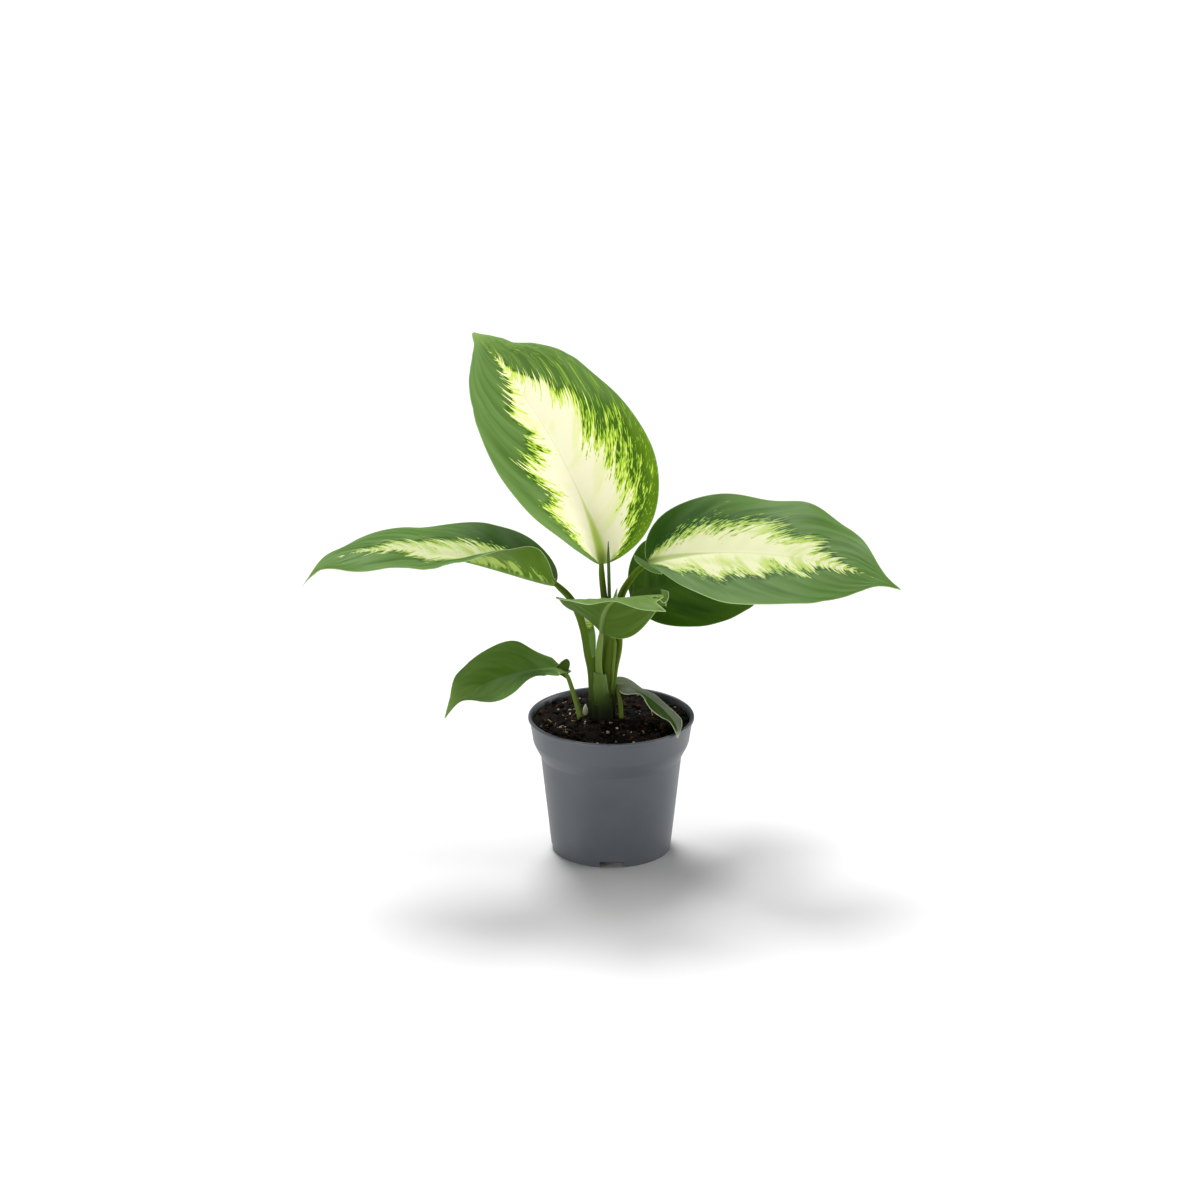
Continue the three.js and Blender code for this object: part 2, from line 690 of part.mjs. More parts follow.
/** Height of the soil's surface: a low crown with uneven ground. */
function ground(x, y) {
  const crown = SOIL_CROWN * (1 - (x * x + y * y) / (RIM_RADIUS * RIM_RADIUS));
  const uneven = Math.sin(0.31 * x + 1.3 * Math.sin(0.17 * y)) * Math.cos(0.27 * y - 0.4)
    + 0.6 * Math.sin(0.63 * x - 0.5 * y + 1);
  return SOIL_Z + crown + SOIL_BUMP * uneven;
}

function soil(holes) {
  const wall = (z) => {
    const body = THREE.MathUtils.mapLinear(z, 0, BODY_TOP_Z, FOOT_RADIUS, BODY_TOP_RADIUS);
    const collar = THREE.MathUtils.mapLinear(z, COLLAR_Z, POT_HEIGHT, COLLAR_RADIUS, RIM_RADIUS - 1.5);
    return (z > BODY_TOP_Z + 1 ? collar : body) - WALL - 2 * GAP;
  };
  const floor = FLOOR_Z + WALL + GAP;
  const top = [48, 36, 24, 12, 0];
  const profile = [
    [0, WALL + GAP],
    [PAD_RADIUS - WALL - GAP, WALL + GAP],
    [PAD_RADIUS - GAP, floor],
    [FOOT_RADIUS - 1.2 - WALL - 2 * GAP, floor],
    [wall(floor + 3), floor + 3],
    [wall(BODY_TOP_Z), BODY_TOP_Z],
    [wall(BODY_TOP_Z) + 0.6, BODY_TOP_Z + 2.8],
    [COLLAR_RADIUS - 1.8 - WALL - 2 * GAP, COLLAR_Z - 2],
    [wall(COLLAR_Z + 1), COLLAR_Z + 1],
    [wall(SOIL_Z - 1), SOIL_Z - 1],
    ...top.map((r) => [r, SOIL_Z]),
  ];
  const lathe = new THREE.LatheGeometry(profile.map(([r, z]) => new THREE.Vector2(r, z)), SOIL_SIDES);
  lathe.rotateX(Math.PI / 2);
  const spots = lathe.getAttribute('position');
  for (let i = 0; i < spots.count; i++) {
    if (Math.abs(spots.getZ(i) - SOIL_Z) < 1e-4) spots.setZ(i, ground(spots.getX(i), spots.getY(i)));
  }
  let body = upright(lathe);
  const random = randomFrom(CRUMB_SEED);
  for (let i = 0; i < CRUMB_COUNT; i++) {
    const size = THREE.MathUtils.lerp(...CRUMB_SIZES, random() ** 2);
    const far = 50 * Math.sqrt(random());
    const around = 2 * Math.PI * random();
    const crumb = new THREE.IcosahedronGeometry(size, 0);
    crumb.scale(1, 0.6 + 0.4 * random(), 0.8);
    crumb.rotateZ(Math.PI * random());
    const [x, y] = [far * Math.cos(around), far * Math.sin(around)];
    crumb.translate(x, y, ground(x, y) + 0.15 * size);
    body = body.add(solid(crumb));
  }
  for (const hole of holes) body = body.subtract(hole);
  return largest(body);
}

// ---- Assembly ----

const plant = new THREE.Group();
const REAR = [0, 1];
const taken = [];
const holes = [];

/** Adds a stem or leaf, cut clear of what stands before it, and keeps its place free for the next. */
function grow(name, body, clearance, color) {
  let own = body;
  for (const other of taken) own = own.subtract(other);
  own = largest(own);
  taken.push(clearance);
  plant.add(mesh(name, own, color, 0.45));
}

const shoots = [['cane', CANE, COLORS.cane], ['spear', SPEAR, COLORS.spear], ['bud', BUD, COLORS.bud],
  ['sprout', SPROUT, COLORS.sprout]];
for (const [name, stations, color] of shoots) {
  const clearance = tube(stations, REAR, GAP, SHOOT_STEPS);
  grow(name, tube(stations, REAR, 0, SHOOT_STEPS), clearance, color);
  holes.push(clearance);
}
for (const name of ['leaf_top', 'leaf_front', 'leaf_left', 'leaf_right', 'leaf_rear', 'leaf_low_left',
  'leaf_low_right']) {
  const leaf = LEAVES[name];
  const clearance = tube(leaf.stalk, leaf.outward, GAP);
  let body = tube(leaf.stalk, leaf.outward).add(blade(leaf));
  for (const rows of leaf.flaps ?? []) body = body.add(flap(rows));
  grow(name, body, clearance, leaf.color);
  holes.push(clearance);
}
plant.add(mesh('soil', soil(holes), COLORS.soil, 0.95));
plant.add(mesh('pot', pot(), COLORS.pot, 0.5));

export default plant;
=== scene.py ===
"""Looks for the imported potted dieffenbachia.

Sizes in the tables are millimetres in the part's own frame: +Z up, -Y to the front, origin under the pot.
Angles are degrees, colours are linear light.
"""

import math

import bpy
import numpy as np
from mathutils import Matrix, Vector


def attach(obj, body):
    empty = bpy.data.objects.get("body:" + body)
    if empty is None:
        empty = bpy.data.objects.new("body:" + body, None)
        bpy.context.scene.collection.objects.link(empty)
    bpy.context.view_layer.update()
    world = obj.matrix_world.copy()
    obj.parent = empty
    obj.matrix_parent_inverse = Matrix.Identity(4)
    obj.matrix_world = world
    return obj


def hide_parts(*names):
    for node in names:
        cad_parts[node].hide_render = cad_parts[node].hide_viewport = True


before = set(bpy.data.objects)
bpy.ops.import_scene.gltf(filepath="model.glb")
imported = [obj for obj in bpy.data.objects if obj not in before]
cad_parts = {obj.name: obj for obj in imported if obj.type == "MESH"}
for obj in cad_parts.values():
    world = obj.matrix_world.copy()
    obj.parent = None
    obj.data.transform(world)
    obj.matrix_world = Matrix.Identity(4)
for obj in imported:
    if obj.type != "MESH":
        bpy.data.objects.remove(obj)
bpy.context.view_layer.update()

MM = 0.001

# ---- Sizes ----

RIM_RADIUS = 60.8
POT_HEIGHT = 103
FOOT_RADIUS = 43.7
BODY_TOP_RADIUS = 51.7
BODY_TOP_Z = 73
COLLAR_RADIUS = 57.1
COLLAR_Z = 84
BEAD_HEIGHT = 3
WALL = 1.3
FLOOR_Z = 3.6
PAD_RADIUS = 14
NOTCH_SIZE = (17, 6, 8.8)
NOTCH_COUNT = 4
DRAIN_RADIUS = 4
DRAIN_RING = 29
DRAIN_COUNT = 8
DRAIN_SIDES = 32
POT_SIDES = 240
POT_EDGE = 0.9
POT_ROUGHNESS = 0.42

SOIL_Z = 98.5
SOIL_CROWN = 1.5
SOIL_RADIUS = 57.2
SOIL_RINGS = 104
SOIL_SIDES = 360
SOIL_WALL = [(56.6, 96.5), (54.9, 85), (52.5, 79), (49.5, 73), (43.5, 12), (42, 5.6)]
LUMPS = 2600
LUMP_REACH = 55
GRAIN_REACH = 54
GRAIN_UNEVEN = 0.3
GRAIN_TILT = 0.8
STRAW_RADIUS = 0.28
STRAW_SIDES = 6
STRAW_STEPS = 5

# Chips: x, y of the largest pale grains. Straw: x, y, turn in degrees, length, lift of its far end.
CHIPS = [(4.1, -22.8), (15, -31), (-21.3, -2.5), (-30, 17), (-37, -21), (-33, -19), (-25, 12), (-3, -30), (9, -34)]
STRAW = [
    (-44.5, -9, 120, 8, 1.5), (-46, -13, 35, 5, 0.6), (-38, -19, -20, 7, 1.0), (-34, -24, 60, 4, 0.4),
    (-41, -16, 75, 5, 0.8), (-27, -6, 150, 5, 0.5), (21, -30, 15, 6, 0.6), (30, 8, 100, 5, 0.5), (-8, -34, 8, 5, 0.4),
]

# Grains: how many, smallest and largest radius, height as a share of it, darkest and lightest colour.
CRUMB_GRAINS = (420, (0.7, 2.6), 0.75, (0.003, 0.0022, 0.0013), (0.075, 0.037, 0.016))
PERLITE_GRAINS = (60, (0.5, 1.5), 0.8, (0.25, 0.22, 0.2), (0.7, 0.68, 0.64))
CHIP_GRAINS = (len(CHIPS), (1.2, 2.0), 0.7, (0.4, 0.36, 0.28), (0.75, 0.72, 0.62))

# Blades. TAPER: width of the band where a blade thins to its margin. CROWDING: how much closer the rows of
# points lie at both ends, and the columns at the midrib. QUILTS: how many soft waves lie between base and tip.
# CREST: share of the midrib's height on the upper side. SHARP: edges sharper than this in degrees stay crisp.
BLADE = 0.7
MARGIN_BLADE = 0.3
MARGIN_TAPER = 4
RIB_HEIGHT = 2.0
RIB_WIDTH = 1.5
BLADE_ROWS = 150
BLADE_COLUMNS = 36
BLADE_ENDS = (0.002, 0.9965)
ROW_CROWDING = 0.75
COLUMN_CROWDING = 1.25
LEAST_CURL = 1e-4
LOBE_REACH = 0.13
QUILTS = 12
QUILT_HEIGHT = 0.16
QUILT_DRIFT = 0.18
CREST = 0.07
FLAP_STEPS = 8
FLAP_TAPER = 2
STALK_ROWS = 90
STALK_SIDES = 32
STALK_GROOVE = 0.1
STALK_RIDGES = 9
STALK_RIDGE_HEIGHT = 0.012
CLEARANCE = 0.12
SHARP_LEAF = 60
SHARP_POT = 40

# A station is x, y, z, half width, half depth.
SHOOTS = {
    "cane": [(-5, 0.5, 45, 5.4, 5.4), (-5, 0.5, 75, 6, 6), (-5, 0.5, 100, 6, 6), (-4.2, 0.8, 118, 5.6, 5.6)],
    "spear": [(-0.6, 0.4, 150, 1.5, 1.5), (-0.9, 0.8, 178, 1.5, 1.5), (-1.4, 1.6, 196, 1.3, 1.3),
              (-2, 2.6, 222, 1.2, 1.2), (-2.2, 3, 236, 0.3, 0.3)],
    "bud": [(0.4, -1.2, 164, 1.8, 1.6), (1.6, -1.5, 184, 1.8, 1.6), (2.8, -1.6, 194, 1.7, 1.4),
            (4.2, -1.8, 202, 0.3, 0.3)],
    "sprout": [(-18.7, 6.4, 84, 2, 2), (-18.9, 6.4, 100, 2, 1.9), (-19, 6.3, 105.5, 1.7, 1.6),
               (-18.8, 6.2, 109, 0.35, 0.35)],
}
REAR = (0, 1)

# Each leaf: the midrib as a Bezier curve from base to tip, the way its upper side looks at base and tip,
# its outline, and for each half its width, fold and curl (degrees, spaced evenly from base to tip), and the
# height and phase of its two waves, of which WAVE_COUNTS fit between base and tip.
# cream and lime: how far the pale heart and its feathered edge reach, as a share of the half width, for
# lateral veins that start at VEIN_STARTS. A half without them is plain green.
# Flaps: small sheets that the leaf's halves don't reach, such as a sheath's edge or a curled corner.
WAVE_COUNTS = {"left": (2, 3.6), "right": (2.2, 3.9)}
NO_CURL = (0,)
UNTRIMMED = ((0, 1),)
PLAIN_CREAM = (-0.6,)
PLAIN_LIME = (-0.5,)
VEIN_STARTS = (-0.1, -0.05, 0.0, 0.05, 0.1, 0.14, 0.18, 0.22, 0.26, 0.3, 0.35, 0.4, 0.45, 0.48, 0.52, 0.56, 0.6,
               0.65, 0.7, 0.75, 0.8, 0.85, 0.9)

LEAVES = {
    "leaf_top": {
        "slot": "leaf_variegated",
        "spine": [(-7, 6, 217), (-18, 34, 272), (-66, 30, 347.5), (-101, 80, 371)],
        "face": [(0.47, -0.9, 0.36), (0.23, -0.81, 0.45)],
        "shape": (0.74, 0.67, 0.5),
        "left": {
            "half": 61,
            "trim": ((0, 0.88), (0.07, 1), (0.68, 1), (0.73, 0.97), (0.79, 1.03), (0.83, 1.08), (0.87, 1.06),
                     (0.91, 0.96), (0.95, 0.71), (1, 0.8)),
            "fold": (33, 15, 7), "curl": (10, 9, 0), "waves": ((-0.9, 0.03), (0.5, -0.2)),
            "cream": (.1, .3, .64, .62, .48, .58, .62, .45, .36, .44, .5, .33, .17, .25, .17, .3, .3, .16, .12,
                      .06, .02, -.02, -.1),
            "lime": (.3, .5, .74, .76, .7, .74, .76, .6, .46, .62, .62, .56, .42, .4, .27, .42, .42, .24, .2, .12,
                     .08, .05, -.1),
        },
        "right": {
            "half": 64.7,
            "trim": ((0, 0.95), (0.05, 1), (0.69, 1), (0.72, 0.98), (0.79, 1.01), (0.83, 1.03), (0.87, 0.89),
                     (0.91, 1.02), (0.95, 0.98), (1, 0.5)),
            "fold": (33, 6, 5), "curl": (8, -11, -7), "waves": ((-2.3, -0.05), (-1.1, -0.18)),
            "cream": (.3, .5, .55, .58, .55, .6, .56, .53, .54, .5, .38, .38, .5, .53, .45, .35, .38, .28, .2,
                      .12, .08, .03, -.1),
            "lime": (.5, .7, .78, .86, .9, .88, .86, .86, .9, .9, .8, .72, .65, .65, .55, .45, .42, .33, .25, .16,
                     .12, .06, -.1),
        },
        "outward": (-0.2, 1),
        "flaps": [
            {"stalk": 0.85, "rows": [
                [(0.9, -1.5, 161.8), (0.9, -1.6, 152.5), (0.2, -1.6, 143.2), (-0.5, -1.6, 132.3),
                 (-1.3, -1.6, 119.8)],
                [(2.6, -3.2, 162), (2.3, -3.3, 153.1), (1.4, -3.3, 143.8), (0.6, -3.2, 132.9), (-0.2, -3, 120.3)],
                [(3.9, -2.8, 161.8), (3.6, -2.8, 152.9), (2.7, -2.8, 143.6), (2, -2.8, 132.7), (1.1, -2.6, 120.2)]]},
        ],
        "stalk": [(-4, 0.8, 118.4, 5.4, 5.4), (-3.2, 1, 136, 5.1, 5.1), (-1.6, 1, 154, 4.85, 4.85),
                  (-1.2, 1.2, 168, 4.5, 4.4), (-2.4, 1.6, 178, 3.8, 3.5), (-4.4, 2.2, 188, 2.7, 2.5),
                  (-5.6, 3, 197, 2.4, 2.3), (-6.9, 5, 210, 2.2, 2.1), (-7.2, 6.6, 218, 1.7, 1.6)],
    },
    "leaf_right": {
        "slot": "leaf_variegated",
        "spine": [(26.5, 10, 216.7), (61.7, 24, 223.5), (141, -0.8, 235.3), (208.7, -30, 210.3)],
        "face": [(-0.5, -0.38, 0.9), (0.15, -0.51, 0.9)],
        "shape": (0.77, 0.71, 0.82),
        "left": {
            "half": 61, "fold": (17.5, 1, 7), "curl": (17, -19, 0), "waves": ((4, 0.25), (2.2, 0.25)),
            "cream": (-.1, .08, .2, .35, .35, .42, .42, .38, .4, .42, .5, .38, .3, .22, .36, .4, .2, .15, .1, .06,
                      .02, -.05, -.1),
            "lime": (.1, .28, .45, .62, .6, .7, .64, .62, .66, .7, .68, .6, .5, .42, .55, .55, .35, .28, .2, .13,
                     .07, .02, -.1),
        },
        "right": {
            "half": 57,
            "trim": ((0, 1), (0.69, 1), (0.75, 0.97), (0.79, 1.02), (0.83, 1.08), (0.87, 1.05), (0.91, 0.84),
                     (0.95, 0.8), (1, 1)),
            "fold": (13, 7, -5), "curl": (-11, 1, -9), "waves": ((1.1, -0.23), (-0.5, 0)),
            "cream": (-.1, .1, .3, .55, .42, .38, .5, .54, .44, .4, .4, .42, .25, .2, .22, .25, .22, .1, .1, .05,
                      .01, -.05, -.1),
            "lime": (.1, .3, .55, .72, .56, .64, .68, .7, .6, .52, .52, .55, .44, .42, .42, .42, .34, .2, .15, .1,
                     .04, 0, -.1),
        },
        "outward": (0.85, 0.5),
        "flaps": [
            {"stalk": 0, "rows": [
                [(16.8, 11, 223.2), (20.5, 9.5, 221.2), (24.8, 8, 218.9), (30.2, 5, 216.1), (36.7, -5, 215.1)],
                [(16.8, 9.8, 221.7), (19.8, 8, 219.4), (24.2, 6, 217.1), (29.8, 2.6, 214.8), (36.7, -5.5, 214.6)],
                [(17.2, 11, 219), (19.9, 9.4, 216.5), (24, 7.6, 214.2), (29.5, 4, 212.1), (36.7, -5.4, 213.7)]]},
        ],
        "stalk": [(-0.6, 3.1, 60, 5.5, 3.2), (-0.6, 3.1, 115, 5.5, 3.2), (1.5, 3.4, 137, 4.4, 3),
                  (5.4, 4, 155, 3.2, 2.6), (5.4, 4.4, 175, 3, 2.6), (7.2, 5.4, 193, 3.3, 2.6),
                  (13.8, 7.6, 205, 2.7, 2.3), (21, 9.2, 213, 2.3, 2.1), (27.5, 10.4, 215.9, 1.6, 1.4)],
    },
    "leaf_left": {
        "slot": "leaf_variegated",
        "spine": [(-39.5, 0, 205.1), (-59.3, 6.5, 201.1), (-183.2, -11, 270), (-222.2, -39, 215.3)],
        "face": [(-0.2, -0.29, 1), (0, -0.36, 0.95)],
        "shape": (0.72, 0.7, 0.97),
        "left": {
            "half": 46,
            "trim": ((0, 1), (0.31, 1.02), (0.37, 1.08), (0.43, 0.85), (0.47, 0.89), (0.51, 1.05), (0.55, 1.1),
                     (0.6, 1), (0.83, 1), (0.87, 0.8), (0.91, 0.45), (0.95, 0.85), (1, 1)),
            "fold": (81, 66, 15.5, 5.5, 0.5), "curl": (-14, -12.5, 5, 6, -6),
            "waves": ((3.9, 0.12), (-2.4, 0.19)),
            "cream": (-.1, 0, .1, .2, .25, .3, .3, .34, .4, .43, .45, .42, .36, .28, .2, .12, .05, .05, .05, .02,
                      -.02, -.06, -.1),
            "lime": (.1, .2, .3, .38, .42, .45, .45, .52, .58, .62, .62, .58, .52, .42, .34, .26, .22, .12, .1,
                     .06, .02, -.02, -.1),
        },
        "right": {
            "half": 55, "fold": (12, 5, -6.5, -13, 4), "curl": (-4, -8, -20.5, -26, -3),
            "waves": ((1.4, -0.05), (-0.6, 0.1)),
            "cream": (-.1, .05, .15, .3, .38, .4, .42, .42, .4, .38, .38, .32, .28, .26, .25, .25, .18, .1, .07,
                      .03, -.02, -.06, -.1),
            "lime": (.1, .25, .35, .5, .56, .55, .55, .53, .52, .52, .54, .5, .4, .33, .34, .38, .28, .2, .18,
                     .08, .03, -.02, -.1),
        },
        "outward": (-1, 0),
        "flaps": [
            {"stalk": 0.5, "pale": 0.95, "fade": 1.1, "rows": [
                [(-20.5, -2, 183.6), (-18.7, -3, 176.2), (-16.9, -3.6, 168.7), (-15.8, -3.6, 158.6),
                 (-14.8, -3.4, 146.9)],
                [(-19.1, -3, 183.7), (-16.5, -4.3, 178.2), (-14.3, -5, 170.4), (-13.3, -5.2, 161.5),
                 (-13, -4.6, 149.7)],
                [(-17.9, -2.6, 183), (-14.7, -4, 179.7), (-12.1, -4.8, 171.5), (-11.2, -5, 163),
                 (-11.5, -4.4, 150.4)]]},
        ],
        "stalk": [(-11.6, 0.5, 60, 6.4, 4.9), (-11.6, 0.5, 115, 6.2, 4.9), (-12.8, 0.3, 137, 5.4, 4.7),
                  (-15.6, 0, 152, 4.4, 4.6), (-16.8, 0, 163, 3.4, 5), (-19.4, 0, 174, 2.8, 4.8),
                  (-24.8, 0, 185, 2.6, 3.2), (-31.2, 0, 195.4, 2.6, 2.6), (-36.6, 0, 201, 2.7, 2.4),
                  (-40.8, 0, 205, 2.1, 1.8)],
    },
    "leaf_rear": {
        "slot": "leaf_variegated",
        "spine": [(14.4, 22, 186), (44, 47.6, 186.4), (83.4, 89, 191.8), (115, 122.5, 157)],
        "face": [(0.05, -0.88, 0.8), (-0.2, -0.15, 0.85)],
        "shape": (0.77, 0.72, 0.57),
        "left": {
            "half": 41.7, "fold": (14, 14, -4, -7, 0.6), "waves": ((0, 0), (-0.6, 0.04)), "cream": (-.3,),
            "lime": (-.1,),
        },
        "right": {
            "half": 43, "fold": (-5, 0, -3.5, -9, -4), "curl": (-25, -10, -9, -16.5, -8),
            "waves": ((0.4, 0), (-0.6, 0.22)), "cream": (-.3,), "lime": (-.1,),
        },
        "outward": (0.3, 1),
        "stalk": [(-4.5, 5.9, 60, 5, 3.2), (-4.5, 5.9, 115, 5, 3.2), (-3, 7, 137, 4, 3), (0, 9.2, 150, 3, 2.6),
                  (6, 14.6, 167, 2.3, 2.2), (11, 19.2, 180, 2.1, 2), (15.4, 22.9, 185.6, 1.5, 1.4)],
    },
    "leaf_front": {
        "slot": "leaf_green",
        "spine": [(-7, -10, 170.7), (-7.2, -53, 208.8), (2.4, -60.4, 226), (38.3, -106, 221)],
        "face": [(0.25, 0.29, 0.85), (-0.11, 0.14, 1)],
        "shape": (0.76, 0.8, 0.61),
        "left": {
            "half": 42.4, "trim": ((0, 1), (0.72, 1), (0.8, 0.75), (0.86, 0.45), (0.93, 0.4), (1, 0.6)),
            "fold": (-13, 3.5, 0, 6, 12), "curl": (1.5, 28.5, -7.5, -16, -8),
            "waves": ((-0.9, -0.05), (1.5, -0.23)),
        },
        "right": {
            "half": 37.7, "fold": (18, 11, 4, 1, -22), "curl": (11.5, 0, -15, 0.5, -27),
            "waves": ((1.4, 0.35), (1.1, 0.28)),
        },
        "outward": (-0.1, -1),
        "flaps": [
            {"stalk": 0, "under": 1, "rows": [
                [(35, -56, 219.9), (35.5, -60, 218.6), (35.4, -65, 218.3), (34.3, -70, 218.8), (32.6, -74, 220.3),
                 (30.5, -78, 220.8), (27.9, -81, 220)],
                [(38.2, -58, 219.8), (38.4, -62, 218.2), (37.9, -68, 217.7), (36.1, -72, 217.6),
                 (33.5, -75, 219.9), (30.8, -77, 221.2), (28, -78.5, 220.3)],
                [(40.6, -60, 219.8), (40.8, -64, 217.4), (39.6, -68, 215.3), (37, -72, 215.2), (34.5, -75, 218.4),
                 (31.8, -76, 221.9), (28.4, -76, 221.4)]]},
            {"stalk": 0.75, "rows": [
                [(-12.9, -7.8, 139.6), (-12.6, -7.9, 133.1), (-12.8, -7.4, 125.1), (-11.6, -6.1, 112.9)],
                [(-10.7, -9.7, 139), (-10.7, -9.8, 133.8), (-10.9, -9.5, 125.9), (-10.4, -7, 113.3)],
                [(-8.2, -10.3, 138.3), (-8.2, -10.4, 133.2), (-8.2, -10, 125.3), (-7.5, -7.3, 113.4)],
                [(-5.7, -9.5, 137.7), (-5.3, -9.6, 132.9), (-4.9, -9, 124.9), (-4.6, -7, 113.3)],
                [(-4, -7.6, 137.5), (-3.2, -7.5, 132.2), (-2.4, -6.8, 124.1), (-2, -5.5, 112.7)]]},
        ],
        "stalk": [(-5.5, -4.9, 60, 6, 3), (-5.5, -4.9, 115, 6, 3), (-8, -5.7, 128, 4.4, 2.8),
                  (-8.8, -6.4, 136.5, 3, 2.6), (-9.1, -7, 141, 2.5, 2.5), (-9.2, -8, 152, 2.5, 2.3),
                  (-8.2, -9.2, 163, 2.2, 2.1), (-7.1, -11.4, 171.3, 1.6, 1.5)],
    },
    "leaf_low_left": {
        "slot": "leaf_green",
        "spine": [(-32.3, -12, 140.4), (-54, -21, 151.4), (-105.6, -34.2, 142.7), (-120.4, -49.4, 118.5)],
        "face": [(0, -0.05, 0.9), (-0.6, -0.7, 0.8)],
        "shape": (0.73, 0.71, 0.78),
        "left": {
            "half": 23.6,
            "trim": ((0, 0.3), (0.07, 0.35), (0.11, 0.85), (0.16, 0.78), (0.2, 0.78), (0.25, 1.12), (0.3, 0.97),
                     (0.37, 0.94), (0.45, 1), (0.62, 1), (0.68, 1.06), (0.74, 1.05), (0.79, 0.8), (0.84, 0.5),
                     (0.89, 0.5), (0.94, 1), (1, 1)),
            "fold": (27, 18, 5, 7, 19), "curl": (-8, 2, -4, 6, 13), "waves": ((-3, 0.02), (-0.3, 0)),
        },
        "right": {
            "half": 28.2, "lobe": 6,
            "trim": ((0, 0.35), (0.07, 0.45), (0.1, 0.9), (0.2, 0.95), (0.28, 1.02), (0.5, 0.99), (0.62, 1.02),
                     (0.72, 0.98), (0.86, 0.97), (0.91, 1.15), (0.95, 1.3), (1, 1)),
            "fold": (19, 16, 20, 13, 8), "waves": ((-3, -0.03), (0.6, 0.1)),
        },
        "outward": (-1, 0),
        "flaps": [
            {"stalk": 0, "under": 1, "rows": [
                [(-42, -13.6, 142.6), (-40.2, -13.2, 140.9), (-38, -12.8, 139.2), (-35.8, -12.5, 137.9),
                 (-34.4, -12.2, 136.9), (-33.4, -12, 135.8)],
                [(-40.9, -12.4, 143.4), (-38.7, -11.4, 144.1), (-36.3, -10.6, 144.6), (-34, -10.3, 144.1),
                 (-32.6, -10.8, 141.1), (-32.9, -11.8, 136.2)],
                [(-39.8, -11, 143.9), (-37.7, -9.6, 146.3), (-35.1, -8.6, 148.6), (-31.9, -8.4, 149.7),
                 (-30, -9.4, 146.1), (-32.4, -11.6, 136.9)]]},
        ],
        "stalk": [(-21.8, 1.4, 60, 2.6, 2.6), (-22.2, 1.2, 98, 2.6, 2.6), (-24.3, -2.5, 110, 2.3, 2.3),
                  (-27.8, -8.5, 124, 1.8, 1.8), (-31.6, -11.9, 137, 1.7, 1.6), (-33.6, -12.6, 140.6, 1.2, 1.1)],
    },
    "leaf_low_right": {
        "slot": "leaf_withered",
        "spine": [(4.1, 2, 125.4), (12.3, 7.9, 128), (53.3, -33.5, 112.8), (47.8, -44.1, 101.7)],
        "face": [(0.46, -0.33, 0.9), (0.63, -0.34, 0.5)],
        "shape": (0.65, 0.46, 0.48),
        "left": {"half": 14.6, "fold": (1.5, -17, -12, 4.5, -38), "waves": ((-0.7, 0), (0.5, 0.22))},
        "right": {"half": 8.5, "fold": (-28, 2, 0, -19, -34), "waves": ((-2.4, -0.04), (0.5, -0.17))},
        "outward": (1, 0),
        "stalk": [(7.4, -0.5, 60, 1.9, 1.9), (7.2, -0.5, 100, 1.9, 1.9), (6.4, 0, 113, 1.8, 1.8),
                  (5, 1.2, 121, 1.6, 1.6), (5.6, 2.8, 125.3, 1.2, 1.2)],
    },
}

# ---- Curves and blends ----


def smooth(x):
    x = np.clip(x, 0, 1)
    return x * x * (3 - 2 * x)


def unit(v):
    return v / np.linalg.norm(v, axis=-1, keepdims=True)


def blend(values, u):
    """Values spaced evenly from base to tip, blended at each u."""
    if len(values) == 1:
        return np.full_like(u, values[0])
    values = np.asarray(values, float)
    place = np.clip(u, 0, 1) * (len(values) - 1)
    k = np.minimum(place.astype(int), len(values) - 2)
    return values[k] + (values[k + 1] - values[k]) * smooth(place - k)


def spine_frames(leaf, u):
    """Centre, tangent, left and normal of the midrib at each share u of its length, and its length."""
    p = np.array(leaf["spine"], float)
    t = np.linspace(0, 1, 2001)[:, None]
    curve = (1 - t) ** 3 * p[0] + 3 * (1 - t) ** 2 * t * p[1] + 3 * (1 - t) * t**2 * p[2] + t**3 * p[3]
    slope = 3 * ((1 - t) ** 2 * (p[1] - p[0]) + 2 * (1 - t) * t * (p[2] - p[1]) + t**2 * (p[3] - p[2]))
    run = np.r_[0, np.cumsum(np.linalg.norm(np.diff(curve, axis=0), axis=1))]
    share = run / run[-1]
    centre = np.stack([np.interp(u, share, curve[:, k]) for k in range(3)], -1)
    tangent = unit(np.stack([np.interp(u, share, slope[:, k]) for k in range(3)], -1))
    base, tip = (np.array(f, float) for f in leaf["face"])
    left = unit(np.cross(base + (tip - base) * u[:, None], tangent))
    return centre, tangent, left, np.cross(tangent, left), run[-1]


def half_width(leaf, u):
    widest, fullness, narrowing = leaf["shape"]
    return np.sin(np.pi * u**widest) ** fullness * (1 - narrowing * smooth((u - 0.7) / 0.3))


def trim(half, u):
    """Local corrections of a half's width: pairs of place and share."""
    places, shares = zip(*half.get("trim", UNTRIMMED))
    return np.interp(u, places, shares)


def vein_start(u, s):
    """Where on the midrib the lateral vein through (u, s) starts: veins sweep towards the tip."""
    return u - np.abs(s) ** 1.4 * (0.1 + 0.26 * u)


def dash_start(u, s):
    """The same for the heart's dashes, which bend more strongly towards the tip."""
    return u - np.abs(s) ** 1.45 * (0.16 + 0.46 * u)


def reach(values, start):
    """How far the heart or its feathered edge reaches along the veins that start there."""
    return np.interp(start, VEIN_STARTS, values) if len(values) > 1 else values[0]


def hash_wave(x, seed):
    """A smooth, irregular, repeatable wave about 0 with features of length 1."""
    return (np.sin(2 * np.pi * x * 0.61 + seed) + np.sin(2 * np.pi * x * 1.13 + 2.1 * seed + 1.7)
            + 0.6 * np.sin(2 * np.pi * x * 0.27 + 3.7 * seed)) / 2.6


# ---- Meshes ----


